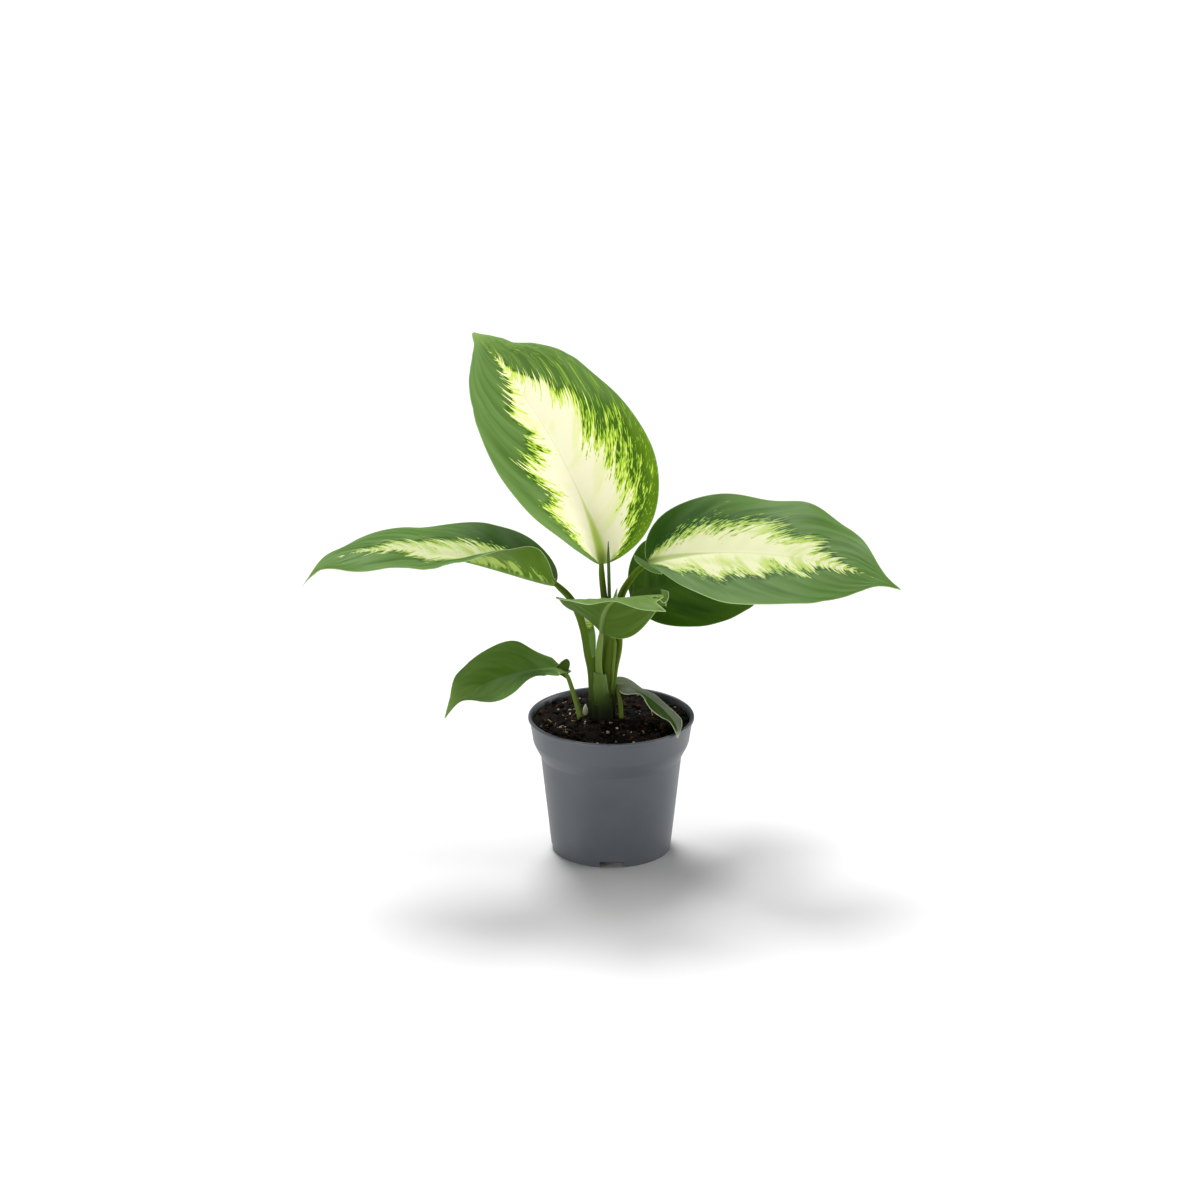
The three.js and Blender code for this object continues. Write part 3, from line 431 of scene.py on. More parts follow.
def add_mesh(name, points, faces, uvs=None):
    """A mesh object from points in millimetres. uvs: {name: a pair for each point}."""
    mesh = bpy.data.meshes.new(name)
    mesh.from_pydata((np.asarray(points, float) * MM).tolist(), [], [list(f) for f in faces])
    loops = np.zeros(len(mesh.loops), int)
    mesh.loops.foreach_get("vertex_index", loops)
    for key, pairs in (uvs or {}).items():
        layer = mesh.uv_layers.new(name=key)
        layer.data.foreach_set("uv", np.asarray(pairs, np.float32)[loops].ravel())
    mesh.polygons.foreach_set("use_smooth", np.ones(len(mesh.polygons), bool))
    mesh.update()
    piece = bpy.data.objects.new(name, mesh)
    bpy.context.scene.collection.objects.link(piece)
    return piece


def combine(piece, other, operation):
    """Joins to piece, or cuts from it, another closed mesh, which is then deleted."""
    modifier = piece.modifiers.new("with", "BOOLEAN")
    modifier.operation = operation
    modifier.solver = "MANIFOLD"
    modifier.object = other
    graph = bpy.context.evaluated_depsgraph_get()
    result = bpy.data.meshes.new_from_object(piece.evaluated_get(graph), preserve_all_data_layers=True, depsgraph=graph)
    piece.modifiers.clear()
    piece.data = result
    bpy.data.objects.remove(other)


def soften(piece, degrees):
    """Smooth shading, with edges sharper than this kept."""
    piece.data.polygons.foreach_set("use_smooth", np.ones(len(piece.data.polygons), bool))
    piece.data.set_sharp_from_angle(angle=math.radians(degrees))


def skin(rings):
    """Faces over rings of points of equal count, with closed ends."""
    rows, count = len(rings), len(rings[0])
    faces = []
    for i in range(rows - 1):
        for j in range(count):
            a, b = i * count + j, i * count + (j + 1) % count
            faces.append((a, b, b + count, a + count))
    faces.append(tuple(range(count))[::-1])
    faces.append(tuple((rows - 1) * count + j for j in range(count)))
    return faces


def path_points(stations, t):
    """Centripetal Catmull-Rom curve through the stations, with half width and depth, at each t."""
    p = np.array([s[:3] for s in stations], float)
    p = np.vstack([2 * p[0] - p[1], p, 2 * p[-1] - p[-2]])
    place = t * (len(stations) - 1)
    k = np.minimum(place.astype(int), len(stations) - 2)
    w = (place - k)[:, None]
    p0, p1, p2, p3 = p[k], p[k + 1], p[k + 2], p[k + 3]
    d0, d1, d2 = (np.sqrt(np.linalg.norm(b - a, axis=1, keepdims=True)) for a, b in ((p0, p1), (p1, p2), (p2, p3)))
    t1 = ((p1 - p0) / d0 - (p2 - p0) / (d0 + d1) + (p2 - p1) / d1) * d1
    t2 = ((p2 - p1) / d1 - (p3 - p1) / (d1 + d2) + (p3 - p2) / d2) * d1
    points = p1 + t1 * w + (-3 * p1 + 3 * p2 - 2 * t1 - t2) * w**2 + (2 * p1 - 2 * p2 + t1 + t2) * w**3
    tangents = t1 + 2 * (-3 * p1 + 3 * p2 - 2 * t1 - t2) * w + 3 * (2 * p1 - 2 * p2 + t1 + t2) * w**2
    size = np.array([s[3:] for s in stations], float)
    sizes = size[k] + (size[k + 1] - size[k]) * w
    return points, unit(tangents), sizes


def tube(name, stations, outward, grow=0.0, rows=STALK_ROWS, sides=STALK_SIDES, groove=0.0):
    """A stalk through its stations; groove is the depth of the channel down its upper side."""
    t = np.linspace(0, 1, rows)
    points, tangents, sizes = path_points(stations, t)
    away = np.array([outward[0], outward[1], 0], float)
    wide = unit(np.cross(away / np.linalg.norm(away), tangents))
    deep = np.cross(tangents, wide)
    points[0] -= tangents[0] * grow
    points[-1] += tangents[-1] * grow
    angle = 2 * np.pi * (np.arange(sides) + 0.5) / sides
    dent = 1 - groove * np.exp(-(((angle - 1.5 * np.pi) / 0.5) ** 2))
    ridges = 1 + STALK_RIDGE_HEIGHT * np.cos(STALK_RIDGES * angle + 4 * t[:, None])
    radius = (dent * (ridges if grow == 0 else 1))[..., None]
    ring = points[:, None] + radius * (
        wide[:, None] * ((sizes[:, 0] + grow)[:, None] * np.cos(angle))[..., None]
        + deep[:, None] * ((sizes[:, 1] + grow)[:, None] * np.sin(angle))[..., None])
    run = np.r_[0, np.cumsum(np.linalg.norm(np.diff(points, axis=0), axis=1))]
    along = np.broadcast_to(run[:, None], ring.shape[:2])
    around = np.broadcast_to(angle / (2 * np.pi), ring.shape[:2])
    height = np.broadcast_to((run / run[-1])[:, None], ring.shape[:2])
    pairs = {
        "LeafUV": np.stack([height, around], -1).reshape(-1, 2),
        "VeinUV": np.stack([along, around * 40], -1).reshape(-1, 2),
        "PatternUV": np.full((along.size, 2), -1.0),
        "PartUV": np.tile([1.0, 0.5], (along.size, 1)),
        "EdgeUV": np.full((along.size, 2), 9.0),
    }
    return add_mesh(name, ring.reshape(-1, 3), skin(ring), pairs)


def both_faces(x, y):
    """A coordinate pair for each point of a sheet's upper face, and the same for its lower face."""
    pairs = np.stack([x, y], -1).reshape(-1, 2)
    return np.concatenate([pairs, pairs])


def half_blade(leaf, key, u, s, frames):
    """The points of one half of a blade, and the place of each among the veins and in the pattern."""
    centre, tangent, left, normal, length = frames
    half = leaf[key]
    side = 1 if key == "left" else -1
    width = half_width(leaf, u)
    full = (half["half"] * width * trim(half, u))[:, None]
    fold = np.radians(blend(half["fold"], u))[:, None]
    curl = np.radians(blend(half.get("curl", NO_CURL), u))[:, None]
    curl = np.where(np.abs(curl) < LEAST_CURL, LEAST_CURL, curl)
    turned = fold + curl * s
    wave = sum(height * s**2 * np.sin(2 * np.pi * (count * u + phase))[:, None]
               for count, (height, phase) in zip(WAVE_COUNTS[key], half["waves"]))
    wave = wave * np.minimum(1, width * 1.5)[:, None]
    out = full * (np.sin(turned) - np.sin(fold)) / curl - np.sin(turned) * wave
    up = full * (np.cos(fold) - np.cos(turned)) / curl + np.cos(turned) * wave
    back = half.get("lobe", 0) * s**2 * (np.exp(-((u / LOBE_REACH) ** 2)) * np.minimum(1, width * 4))[:, None]
    grid = (centre[:, None] + left[:, None] * (side * out)[..., None] + normal[:, None] * up[..., None]
            - tangent[:, None] * back[..., None])
    start = vein_start(u[:, None], s)
    mm = full * s
    return {
        "grid": grid, "s": side * np.broadcast_to(s, mm.shape), "mm": side * mm, "start": start * length,
        "dash": dash_start(u[:, None], s) * length, "edge": full * (1 - s),
        "cream": reach(half.get("cream", PLAIN_CREAM), start) - s + 0 * mm,
        "lime": reach(half.get("lime", PLAIN_LIME), start) - s + 0 * mm,
    }


def blade(name, leaf):
    """A leaf blade with its raised midrib, soft quilting between the lateral veins and thin margin."""
    even = np.linspace(0, 1, BLADE_ROWS)
    crowded = even + (0.5 - 0.5 * np.cos(np.pi * even) - even) * ROW_CROWDING
    u = BLADE_ENDS[0] + (BLADE_ENDS[1] - BLADE_ENDS[0]) * crowded
    frames = spine_frames(leaf, u)
    normal, length = frames[3:]
    s = ((np.arange(BLADE_COLUMNS + 1) / BLADE_COLUMNS) ** COLUMN_CROWDING)[None, :]
    one, two = (half_blade(leaf, key, u, s, frames) for key in ("left", "right"))
    whole = {k: np.concatenate([one[k][:, :0:-1], two[k]], axis=1) for k in one}
    grid, edge, far = whole["grid"], whole["edge"], np.abs(whole["mm"])
    face = unit(np.cross(np.gradient(grid, axis=0), np.gradient(grid, axis=1)))
    face *= np.sign(np.sum(face * normal[:, None], axis=-1).sum())

    pitch = length / QUILTS
    count = whole["start"] / pitch
    drift = QUILT_DRIFT * hash_wave(count * 0.7, 1.0 + np.sign(whole["mm"]))
    quilt = QUILT_HEIGHT * np.cos(2 * np.pi * (count + drift))
    quilt *= smooth((far - 1.5) / 6) * smooth(edge / 7)
    grid = grid + face * quilt[..., None]

    thick = MARGIN_BLADE + (BLADE - MARGIN_BLADE) * smooth(edge / MARGIN_TAPER)
    tall = RIB_HEIGHT * ((1 - u) ** 0.8)[:, None]
    rib = tall * np.exp(-((far / (RIB_WIDTH * (0.5 + 0.5 * (1 - u))[:, None])) ** 2))
    crest = CREST * tall * (np.exp(-((far / 1.3) ** 2)) - 0.9 * np.exp(-(((far - 2.6) / 1.1) ** 2)))
    room = smooth(np.minimum(edge / 3, 1))
    upper = grid + face * (thick / 2 + crest * room)[..., None]
    lower = grid - face * (thick / 2 + rib)[..., None]
    points = np.concatenate([upper.reshape(-1, 3), lower.reshape(-1, 3)])
    down = np.repeat([0.0, 1.0], far.size)
    pairs = {
        "LeafUV": both_faces(np.broadcast_to(u[:, None], far.shape), whole["s"]),
        "VeinUV": both_faces(whole["dash"], whole["mm"]),
        "PatternUV": both_faces(whole["cream"], whole["lime"]),
        "PartUV": np.stack([np.zeros_like(down), down], -1),
        "EdgeUV": both_faces(edge, far),
    }
    return add_mesh(name, points, shell(np.arange(far.size).reshape(far.shape)), pairs)


def refine(rows, times):
    """Points along the first axis, with times points on a smooth curve for each gap."""
    rows = np.asarray(rows, float)
    padded = np.concatenate([2 * rows[:1] - rows[1:2], rows, 2 * rows[-1:] - rows[-2:-1]])
    place = np.linspace(0, len(rows) - 1, (len(rows) - 1) * times + 1)
    k = np.minimum(place.astype(int), len(rows) - 2)
    w = (place - k)[:, None, None]
    p0, p1, p2, p3 = padded[k], padded[k + 1], padded[k + 2], padded[k + 3]
    return 0.5 * (2 * p1 + (p2 - p0) * w + (2 * p0 - 5 * p1 + 4 * p2 - p3) * w**2
                  + (3 * p1 - p0 - 3 * p2 + p3) * w**3)


def flap(name, rows, stalk, pale=0, fade=0, under=0):
    """A small thin sheet through rows of points; its last row is a free margin.

    stalk and under: how far it is coloured as stalk and as underside. pale: how yellow it is, 0 to 1. fade:
    how much of that it loses along its rows.
    """
    grid = refine(np.swapaxes(refine(rows, FLAP_STEPS), 0, 1), FLAP_STEPS)
    grid = np.swapaxes(grid, 0, 1)
    face = unit(np.cross(np.gradient(grid, axis=0), np.gradient(grid, axis=1)))
    count, length = grid.shape[:2]
    gap = np.linalg.norm(grid - grid[-1:], axis=-1)
    run = np.linalg.norm(grid - grid[:, :1], axis=-1)
    edge = np.minimum(gap, np.minimum(run, np.linalg.norm(grid - grid[:, -1:], axis=-1)) + 0.3)
    thick = (MARGIN_BLADE + (BLADE - MARGIN_BLADE) * smooth(edge / FLAP_TAPER))[..., None]
    points = np.concatenate([(grid + face * thick / 2).reshape(-1, 3), (grid - face * thick / 2).reshape(-1, 3)])
    along = np.broadcast_to(np.linspace(0, 1, length), (count, length))
    same = np.ones_like(edge)
    pairs = {
        "LeafUV": both_faces(0.5 * same, along),
        "VeinUV": both_faces(run, gap),
        "PatternUV": both_faces(2 * pale - 1.6 - fade * along, 2 * pale - 1.3 - fade * along),
        "PartUV": both_faces(stalk * same, under * same),
        "EdgeUV": both_faces(edge, 9 * same),
    }
    return add_mesh(name, points, shell(np.arange(count * length).reshape(count, length)), pairs)


def shell(index):
    """Faces of a closed thin sheet: a grid of points, its copy on the other side and the border between."""
    other = index + index.size
    faces = []
    for grid, order in ((index, (0, 1, 2, 3)), (other, (3, 2, 1, 0))):
        corners = (grid[:-1, :-1], grid[:-1, 1:], grid[1:, 1:], grid[1:, :-1])
        faces += np.stack([corners[k] for k in order], -1).reshape(-1, 4).tolist()
    border = np.concatenate([index[0, :-1], index[:-1, -1], index[-1, :0:-1], index[:0:-1, 0]])
    for p, q in zip(border, np.roll(border, -1)):
        faces.append([q, p, p + index.size, q + index.size])
    return faces


def outward_faces(piece):
    """Turns a closed mesh's faces outward if they look in."""
    mesh = piece.data
    mesh.calc_loop_triangles()
    co = np.array([v.co for v in mesh.vertices])
    tri = np.array([t.vertices for t in mesh.loop_triangles])
    a, b, c = co[tri[:, 0]], co[tri[:, 1]], co[tri[:, 2]]
    if np.sum(np.cross(a, b) * c) < 0:
        mesh.flip_normals()


# ---- Materials ----


class Look:
    """Builds one node material around a single Principled shader."""

    def __init__(self, name, roughness, subsurface=0.0, radius=(1, 1, 1), specular=0.5):
        self.material = bpy.data.materials.new(name)
        self.material.use_nodes = True
        self.tree = self.material.node_tree
        self.tree.nodes.clear()
        self.shader = self.node("ShaderNodeBsdfPrincipled")
        output = self.node("ShaderNodeOutputMaterial")
        self.tree.links.new(self.shader.outputs["BSDF"], output.inputs["Surface"])
        self.shader.inputs["Roughness"].default_value = roughness
        self.shader.inputs["Specular IOR Level"].default_value = specular
        self.shader.inputs["Subsurface Weight"].default_value = subsurface
        self.shader.inputs["Subsurface Radius"].default_value = radius
        self.shader.inputs["Subsurface Scale"].default_value = MM

    def node(self, kind, **settings):
        made = self.tree.nodes.new(kind)
        for key, value in settings.items():
            setattr(made, key, value)
        return made

    def put(self, socket, value):
        if isinstance(value, bpy.types.NodeSocket):
            self.tree.links.new(value, socket)
        elif isinstance(value, (tuple, list)) and socket.type == "RGBA" and len(value) == 3:
            socket.default_value = (*value, 1)
        else:
            socket.default_value = value

    def math(self, operation, *values):
        made = self.node("ShaderNodeMath", operation=operation)
        for socket, value in zip(made.inputs, values):
            self.put(socket, value)
        return made.outputs[0]

    def times(self, first, second):
        return self.math("MULTIPLY", first, second)

    def total(self, *terms):
        """Sum of value, factor pairs."""
        result = None
        for value, factor in terms:
            part = self.times(value, factor)
            result = part if result is None else self.math("ADD", result, part)
        return result

    def ramp(self, value, low, high, to_low=0.0, to_high=1.0):
        made = self.node("ShaderNodeMapRange", interpolation_type="SMOOTHSTEP")
        keys = ("Value", "From Min", "From Max", "To Min", "To Max")
        for key, number in zip(keys, (value, low, high, to_low, to_high)):
            self.put(made.inputs[key], number)
        return made.outputs["Result"]

    def mix(self, factor, first, second):
        made = self.node("ShaderNodeMix", data_type="RGBA", blend_type="MIX", clamp_factor=True)
        sockets = {socket.identifier: socket for socket in (*made.inputs, *made.outputs)}
        self.put(made.inputs["Factor"], factor)
        self.put(sockets["A_Color"], first)
        self.put(sockets["B_Color"], second)
        return sockets["Result_Color"]

    def pair(self, name):
        """Both numbers of a coordinate pair kept in the mesh."""
        uv = self.node("ShaderNodeUVMap", uv_map=name)
        parts = self.node("ShaderNodeSeparateXYZ")
        self.tree.links.new(uv.outputs["UV"], parts.inputs[0])
        return parts.outputs[0], parts.outputs[1]

    def place(self, x=0.0, y=0.0, z=0.0):
        made = self.node("ShaderNodeCombineXYZ")
        for socket, value in zip(made.inputs, (x, y, z)):
            self.put(socket, value)
        return made.outputs[0]

    def noise(self, where, scale, detail=2.0, roughness=0.5, distortion=0.0):
        """Noise about 0, from -0.5 to 0.5."""
        made = self.node("ShaderNodeTexNoise")
        self.put(made.inputs["Vector"], where)
        keys = ("Scale", "Detail", "Roughness", "Distortion")
        for key, value in zip(keys, (scale, detail, roughness, distortion)):
            made.inputs[key].default_value = value
        return self.math("SUBTRACT", made.outputs["Fac"], 0.5)

    def solid_place(self):
        """Position on the object in metres."""
        return self.node("ShaderNodeTexCoord").outputs["Object"]

    def bump(self, height, distance, strength=1.0):
        made = self.node("ShaderNodeBump")
        made.inputs["Strength"].default_value = strength
        made.inputs["Distance"].default_value = distance
        self.put(made.inputs["Height"], height)
        self.put(self.shader.inputs["Normal"], made.outputs["Normal"])

    def color(self, value):
        self.put(self.shader.inputs["Base Color"], value)

    def roughness(self, value):
        self.put(self.shader.inputs["Roughness"], value)


# Between these heights in metres painted shade darkens a stalk towards the soil.
FOOT_SHADE_HEIGHTS = (0.138, 0.103)


def leaf_look(name, seed, green, light_green, underside, stalk_low, stalk_high, half=None, half_sign=-1,
              half_from=(-0.2, -0.1), half_until=(0.4, 0.75), cream=(0.86, 0.84, 0.56), yellow=(0.48, 0.6, 0.1),
              lime=(0.2, 0.36, 0.03), dark=(0.035, 0.09, 0.01), tip=(0.06, 0.12, 0.02), tip_from=0.9,
              margin=(0.3, 0.42, 0.2), rib=(0.2, 0.27, 0.03), rib_base=4.6, under_pale=(0.12, 0.2, 0.04),
              under_rib=None, foot=(0.003, 0.005, 0.001), see_through=0.3, specks=0.0, blotches=0.5,
              roughness=0.5):
    """A leaf's skin: pale heart, feathered edge, green border, midrib, margin and tip, underside and stalk.

    half: green and light green of one half, the left where half_sign is 1, between half_from and half_until. foot:
    painted shade, the colour a stalk takes near the soil.
    """
    look = Look(name, roughness, subsurface=0.12, radius=(1.2, 2.0, 0.5), specular=0.08)
    ramp, mix, times, total = look.ramp, look.mix, look.times, look.total
    u, _ = look.pair("LeafUV")
    start, mm = look.pair("VeinUV")
    cream_reach, lime_reach = look.pair("PatternUV")
    stalk, under = look.pair("PartUV")
    edge, far = look.pair("EdgeUV")

    def dashes(across, along, shift, detail=0.0):
        """Noise drawn out along the lateral veins; across and along are features per millimetre."""
        where = look.place(times(start, across), times(mm, along), shift)
        return look.noise(where, 1.0, detail, 0.5, 0.15)

    broad = dashes(0.07, 0.045, seed + 9)
    bands = dashes(0.12, 0.02, seed + 21, 1.0)
    tongues = dashes(0.17, 0.045, seed + 14)
    long_dashes = dashes(0.36, 0.085, seed, 0.8)
    short_dashes = dashes(0.62, 0.21, seed + 3, 0.8)
    dots = dashes(1.0, 0.5, seed + 5)

    # The heart's edge breaks up into dashes. Beyond it lie lime and yellow dashes on darker green.
    cream_edge = total((cream_reach, 1.0), (tongues, 0.32), (long_dashes, 0.46), (short_dashes, 0.42), (dots, 0.14))
    creamy = ramp(cream_edge, -0.004, 0.012)
    zone = look.math("DIVIDE", lime_reach, look.math("MAXIMUM", look.math("SUBTRACT", lime_reach, cream_reach), 0.02))
    feather = total((zone, 1.0), (long_dashes, 1.7), (short_dashes, 2.1), (dots, 1.1), (tongues, 0.9))

    base, pale = green, light_green
    if half:
        here = times(ramp(u, *half_from), ramp(u, *half_until, 1.0, 0.0))
        on_half = times(ramp(mm, -0.01 * half_sign, 0.01 * half_sign), here)
        base, pale = mix(on_half, green, half[0]), mix(on_half, light_green, half[1])
    plain = mix(ramp(broad, -0.15, 0.2, 0.0, 0.6), base, pale)
    plain = mix(ramp(bands, 0.0, 0.25, 0.0, 0.6), plain, pale)
    plain = mix(ramp(bands, -0.06, -0.2, 0.0, 0.35), plain, dark)
    plain = mix(ramp(edge, 14.0, 2.0, 0.0, 0.5), plain, pale)
    darker = times(ramp(zone, -0.1, 0.3), ramp(short_dashes, 0.12, -0.12, 0.45, 0.85))
    plain = mix(darker, plain, dark)
    if specks:
        speck = times(ramp(total((dots, 1.0), (short_dashes, 0.8)), 0.17, 0.24), ramp(mm, 0.0, -1.0, 0.0, specks))
        plain = mix(speck, plain, lime)
    feathered = mix(ramp(feather, 0.46, 0.54), plain, lime)
    feathered = mix(ramp(feather, 0.76, 0.9), feathered, yellow)
    heart = mix(ramp(cream_edge, 0.0, 0.09), yellow, cream)
    blotch = times(ramp(total((broad, 1.0), (bands, 0.8)), 0.0, 0.3),
                   ramp(cream_edge, 0.5, 0.1, 0.4 * blotches, blotches))
    heart = mix(blotch, heart, yellow)
    top = mix(creamy, feathered, heart)

    # The midrib: a green wedge at its base that thins to a faint line.
    wedge = ramp(u, 0.0, 0.3, rib_base, 0.8)
    on_rib = ramp(look.math("DIVIDE", far, wedge), 0.35, 1.1, 1.0, 0.0)
    top = mix(times(on_rib, ramp(u, 0.08, 0.36, 0.9, 0.16)), top, rib)
    top = mix(times(on_rib, ramp(u, 0.0, 0.08, 0.7, 0.0)), top, stalk_high)

    # Thin pale margin, darker tip, and the underside, where the heart shows through faintly.
    rim = ramp(edge, 0.25, 0.8, 0.75, 0.0)
    top = mix(ramp(u, tip_from, 1.0, 0.0, 0.7), top, tip)
    below = mix(ramp(bands, -0.05, 0.25, 0.0, 0.7), underside, under_pale)
    showing = times(ramp(feather, 0.6, 0.9), ramp(total((tongues, 1.0), (long_dashes, 1.0)), -0.06, 0.14))
    below = mix(times(showing, see_through), below, yellow)
    below = mix(ramp(far, 1.9, 0.9, 0.0, 0.8), below, under_rib or under_pale)
    skin = mix(rim, mix(under, top, below), margin)

    # The stalk, with fine lengthwise streaks; painted shade darkens it towards the soil.
    lines = look.noise(look.place(times(start, 0.02), mm, seed), 1.6, 3.0)
    height = look.node("ShaderNodeSeparateXYZ")
    look.tree.links.new(look.solid_place(), height.inputs[0])
    stalk_color = mix(ramp(u, 0.15, 0.95), stalk_low, stalk_high)
    stalk_color = mix(ramp(lines, 0.0, 0.3, 0.0, 0.4), stalk_color, stalk_high)
    # Painted shade: near the soil the stalk fades to the dark foot colour.
    low = times(ramp(height.outputs[2], *FOOT_SHADE_HEIGHTS, 0.0, 0.97), ramp(stalk, 0.2, 0.4))
    look.color(mix(low, mix(stalk, skin, stalk_color), foot))

    look.roughness(total((roughness, 1.0), (short_dashes, 0.12), (under, 0.08)))
    veins = look.math("ABSOLUTE", dashes(0.22, 0.02, seed + 31, 1.0))
    look.bump(total((veins, 0.8), (dots, 0.2)), 0.0004, 0.4)
    return look.material


LEAF_COLORS = {
    "leaf_top": {
        "seed": 1.0, "green": (0.09, 0.18, 0.035), "light_green": (0.168, 0.295, 0.075),
        "underside": (0.16, 0.26, 0.09), "stalk_low": (0.06, 0.1, 0.006), "stalk_high": (0.09, 0.145, 0.01),
        "half": ((0.078, 0.168, 0.003), (0.14, 0.265, 0.013)), "half_until": (0.3, 0.6),
        "cream": (0.96, 0.93, 0.66), "yellow": (0.7, 0.84, 0.14), "lime": (0.34, 0.56, 0.04),
        "dark": (0.045, 0.12, 0.01), "tip": (0.22, 0.36, 0.07), "rib": (0.55, 0.72, 0.1), "rib_base": 7.0,
        "specks": 0.9, "blotches": 0.4,
    },
    "leaf_right": {
        "seed": 11.0, "green": (0.067, 0.152, 0.02), "light_green": (0.122, 0.225, 0.06),
        "underside": (0.12, 0.2, 0.08), "stalk_low": (0.07, 0.115, 0.006), "stalk_high": (0.08, 0.14, 0.006),
        "half": ((0.023, 0.075, 0.005), (0.046, 0.115, 0.013)), "half_sign": 1, "half_until": (0.1, 0.42),
        "cream": (0.67, 0.68, 0.41), "yellow": (0.43, 0.54, 0.11), "lime": (0.21, 0.36, 0.05),
        "dark": (0.022, 0.065, 0.014), "tip": (0.07, 0.145, 0.012), "margin": (0.4, 0.5, 0.22),
        "rib": (0.32, 0.42, 0.12), "blotches": 0.85,
    },
    "leaf_left": {
        "seed": 23.0, "green": (0.072, 0.17, 0.022), "light_green": (0.15, 0.27, 0.075),
        "underside": (0.082, 0.16, 0.014), "stalk_low": (0.045, 0.085, 0.005), "stalk_high": (0.06, 0.11, 0.005),
        "half": ((0.015, 0.052, 0.0), (0.028, 0.08, 0.001)), "half_until": (0.2, 0.5),
        "cream": (0.64, 0.68, 0.38), "yellow": (0.4, 0.53, 0.11), "lime": (0.17, 0.3, 0.035),
        "dark": (0.02, 0.06, 0.004), "tip": (0.1, 0.17, 0.03), "margin": (0.4, 0.5, 0.25),
        "rib": (0.3, 0.36, 0.1), "under_pale": (0.13, 0.23, 0.05), "see_through": 0.75, "blotches": 0.85,
    },
    "leaf_rear": {
        # leaf_rear: its own plain dark green, darkened further with painted shade, the shadow that leaf_right casts on
        # it.
        "seed": 37.0, "green": (0.013, 0.043, 0.0), "light_green": (0.03, 0.075, 0.001),
        "underside": (0.03, 0.06, 0.015), "stalk_low": (0.03, 0.055, 0.004), "stalk_high": (0.04, 0.08, 0.006),
        "margin": (0.07, 0.14, 0.03), "dark": (0.007, 0.026, 0.0), "rib": (0.03, 0.06, 0.006),
    },
    "leaf_front": {
        "seed": 41.0, "green": (0.1, 0.184, 0.032), "light_green": (0.136, 0.24, 0.052),
        "underside": (0.055, 0.11, 0.012), "stalk_low": (0.022, 0.042, 0.003), "stalk_high": (0.125, 0.19, 0.04),
        "margin": (0.4, 0.5, 0.25), "rib": (0.12, 0.19, 0.045), "under_pale": (0.08, 0.145, 0.02),
        "under_rib": (0.14, 0.21, 0.05),
    },
    "leaf_low_left": {
        "seed": 53.0, "green": (0.095, 0.195, 0.025), "light_green": (0.165, 0.285, 0.08),
        "underside": (0.045, 0.08, 0.01), "stalk_low": (0.13, 0.19, 0.035), "stalk_high": (0.09, 0.15, 0.012),
        "half": ((0.065, 0.148, 0.008), (0.115, 0.21, 0.042)), "half_until": (0.85, 1.0),
        "tip": (0.22, 0.34, 0.09), "tip_from": 0.5, "margin": (0.14, 0.24, 0.07), "rib": (0.17, 0.28, 0.085),
        "under_pale": (0.06, 0.1, 0.015), "foot": (0.13, 0.19, 0.035),
    },
    "leaf_low_right": {
        # leaf_low_right: the grey in its green and light green is painted sheen, the upper face's reflection seen at a
        # grazing angle.
        "seed": 61.0, "green": (0.068, 0.084, 0.052), "light_green": (0.112, 0.13, 0.086),
        "underside": (0.03, 0.07, 0.0), "stalk_low": (0.08, 0.12, 0.01), "stalk_high": (0.1, 0.15, 0.03),
        "half": ((0.009, 0.03, 0.0), (0.024, 0.062, 0.0)), "half_from": (0.2, 0.4), "half_until": (0.85, 1.0),
        "tip": (0.55, 0.62, 0.36), "margin": (0.4, 0.46, 0.32), "rib": (0.075, 0.09, 0.055),
        "under_pale": (0.06, 0.12, 0.004), "foot": (0.08, 0.12, 0.01), "roughness": 0.55,
    },
}
LEAF_LOOKS = {name: leaf_look(name + "_skin", **colors) for name, colors in LEAF_COLORS.items()}


def stem_look(name, low, high, seed):
    """The skin of a stem or shoot, from low at its foot to high at its top, with fine lengthwise streaks."""
    look = Look(name, 0.4, subsurface=0.1, radius=(1.0, 1.6, 0.4), specular=0.25)
    along, around = look.pair("VeinUV")
    height, _ = look.pair("LeafUV")
    lines = look.noise(look.place(look.times(along, 0.03), around, seed), 1.4, 3.0)
    color = look.mix(look.ramp(height, 0.2, 1.0), low, high)
    look.color(look.mix(look.ramp(lines, 0.0, 0.3, 0.0, 0.5), color, high))
    look.bump(lines, 0.0003, 0.4)
    return look.material


def pot_look():
    """Satin grey plastic with a faint cloudiness and grain."""
    look = Look("pot_plastic_skin", POT_ROUGHNESS, specular=0.4)
    where = look.solid_place()
    cloud = look.noise(where, 22.0, 3.0)
    grain = look.noise(where, 900.0, 3.0)
    look.color(look.mix(look.ramp(cloud, -0.2, 0.2), (0.07, 0.078, 0.088), (0.082, 0.09, 0.102)))
    look.roughness(look.math("ADD", POT_ROUGHNESS, look.times(cloud, 0.12)))
    look.bump(look.math("ADD", grain, look.times(cloud, 2.0)), 0.0001, 0.25)
    return look.material


def soil_look(name, dark, light):
    """Dull and rough, in specks between dark and light."""
    look = Look(name, 0.9, specular=0.12)
    where = look.solid_place()
    grain = look.noise(where, 420.0, 5.0, 0.7)
    patch = look.noise(where, 90.0, 3.0)
    look.color(look.mix(look.ramp(look.math("ADD", grain, patch), -0.15, 0.35), dark, light))
    look.bump(grain, 0.0008, 1.0)
    return look.material


# ---- Pot ----


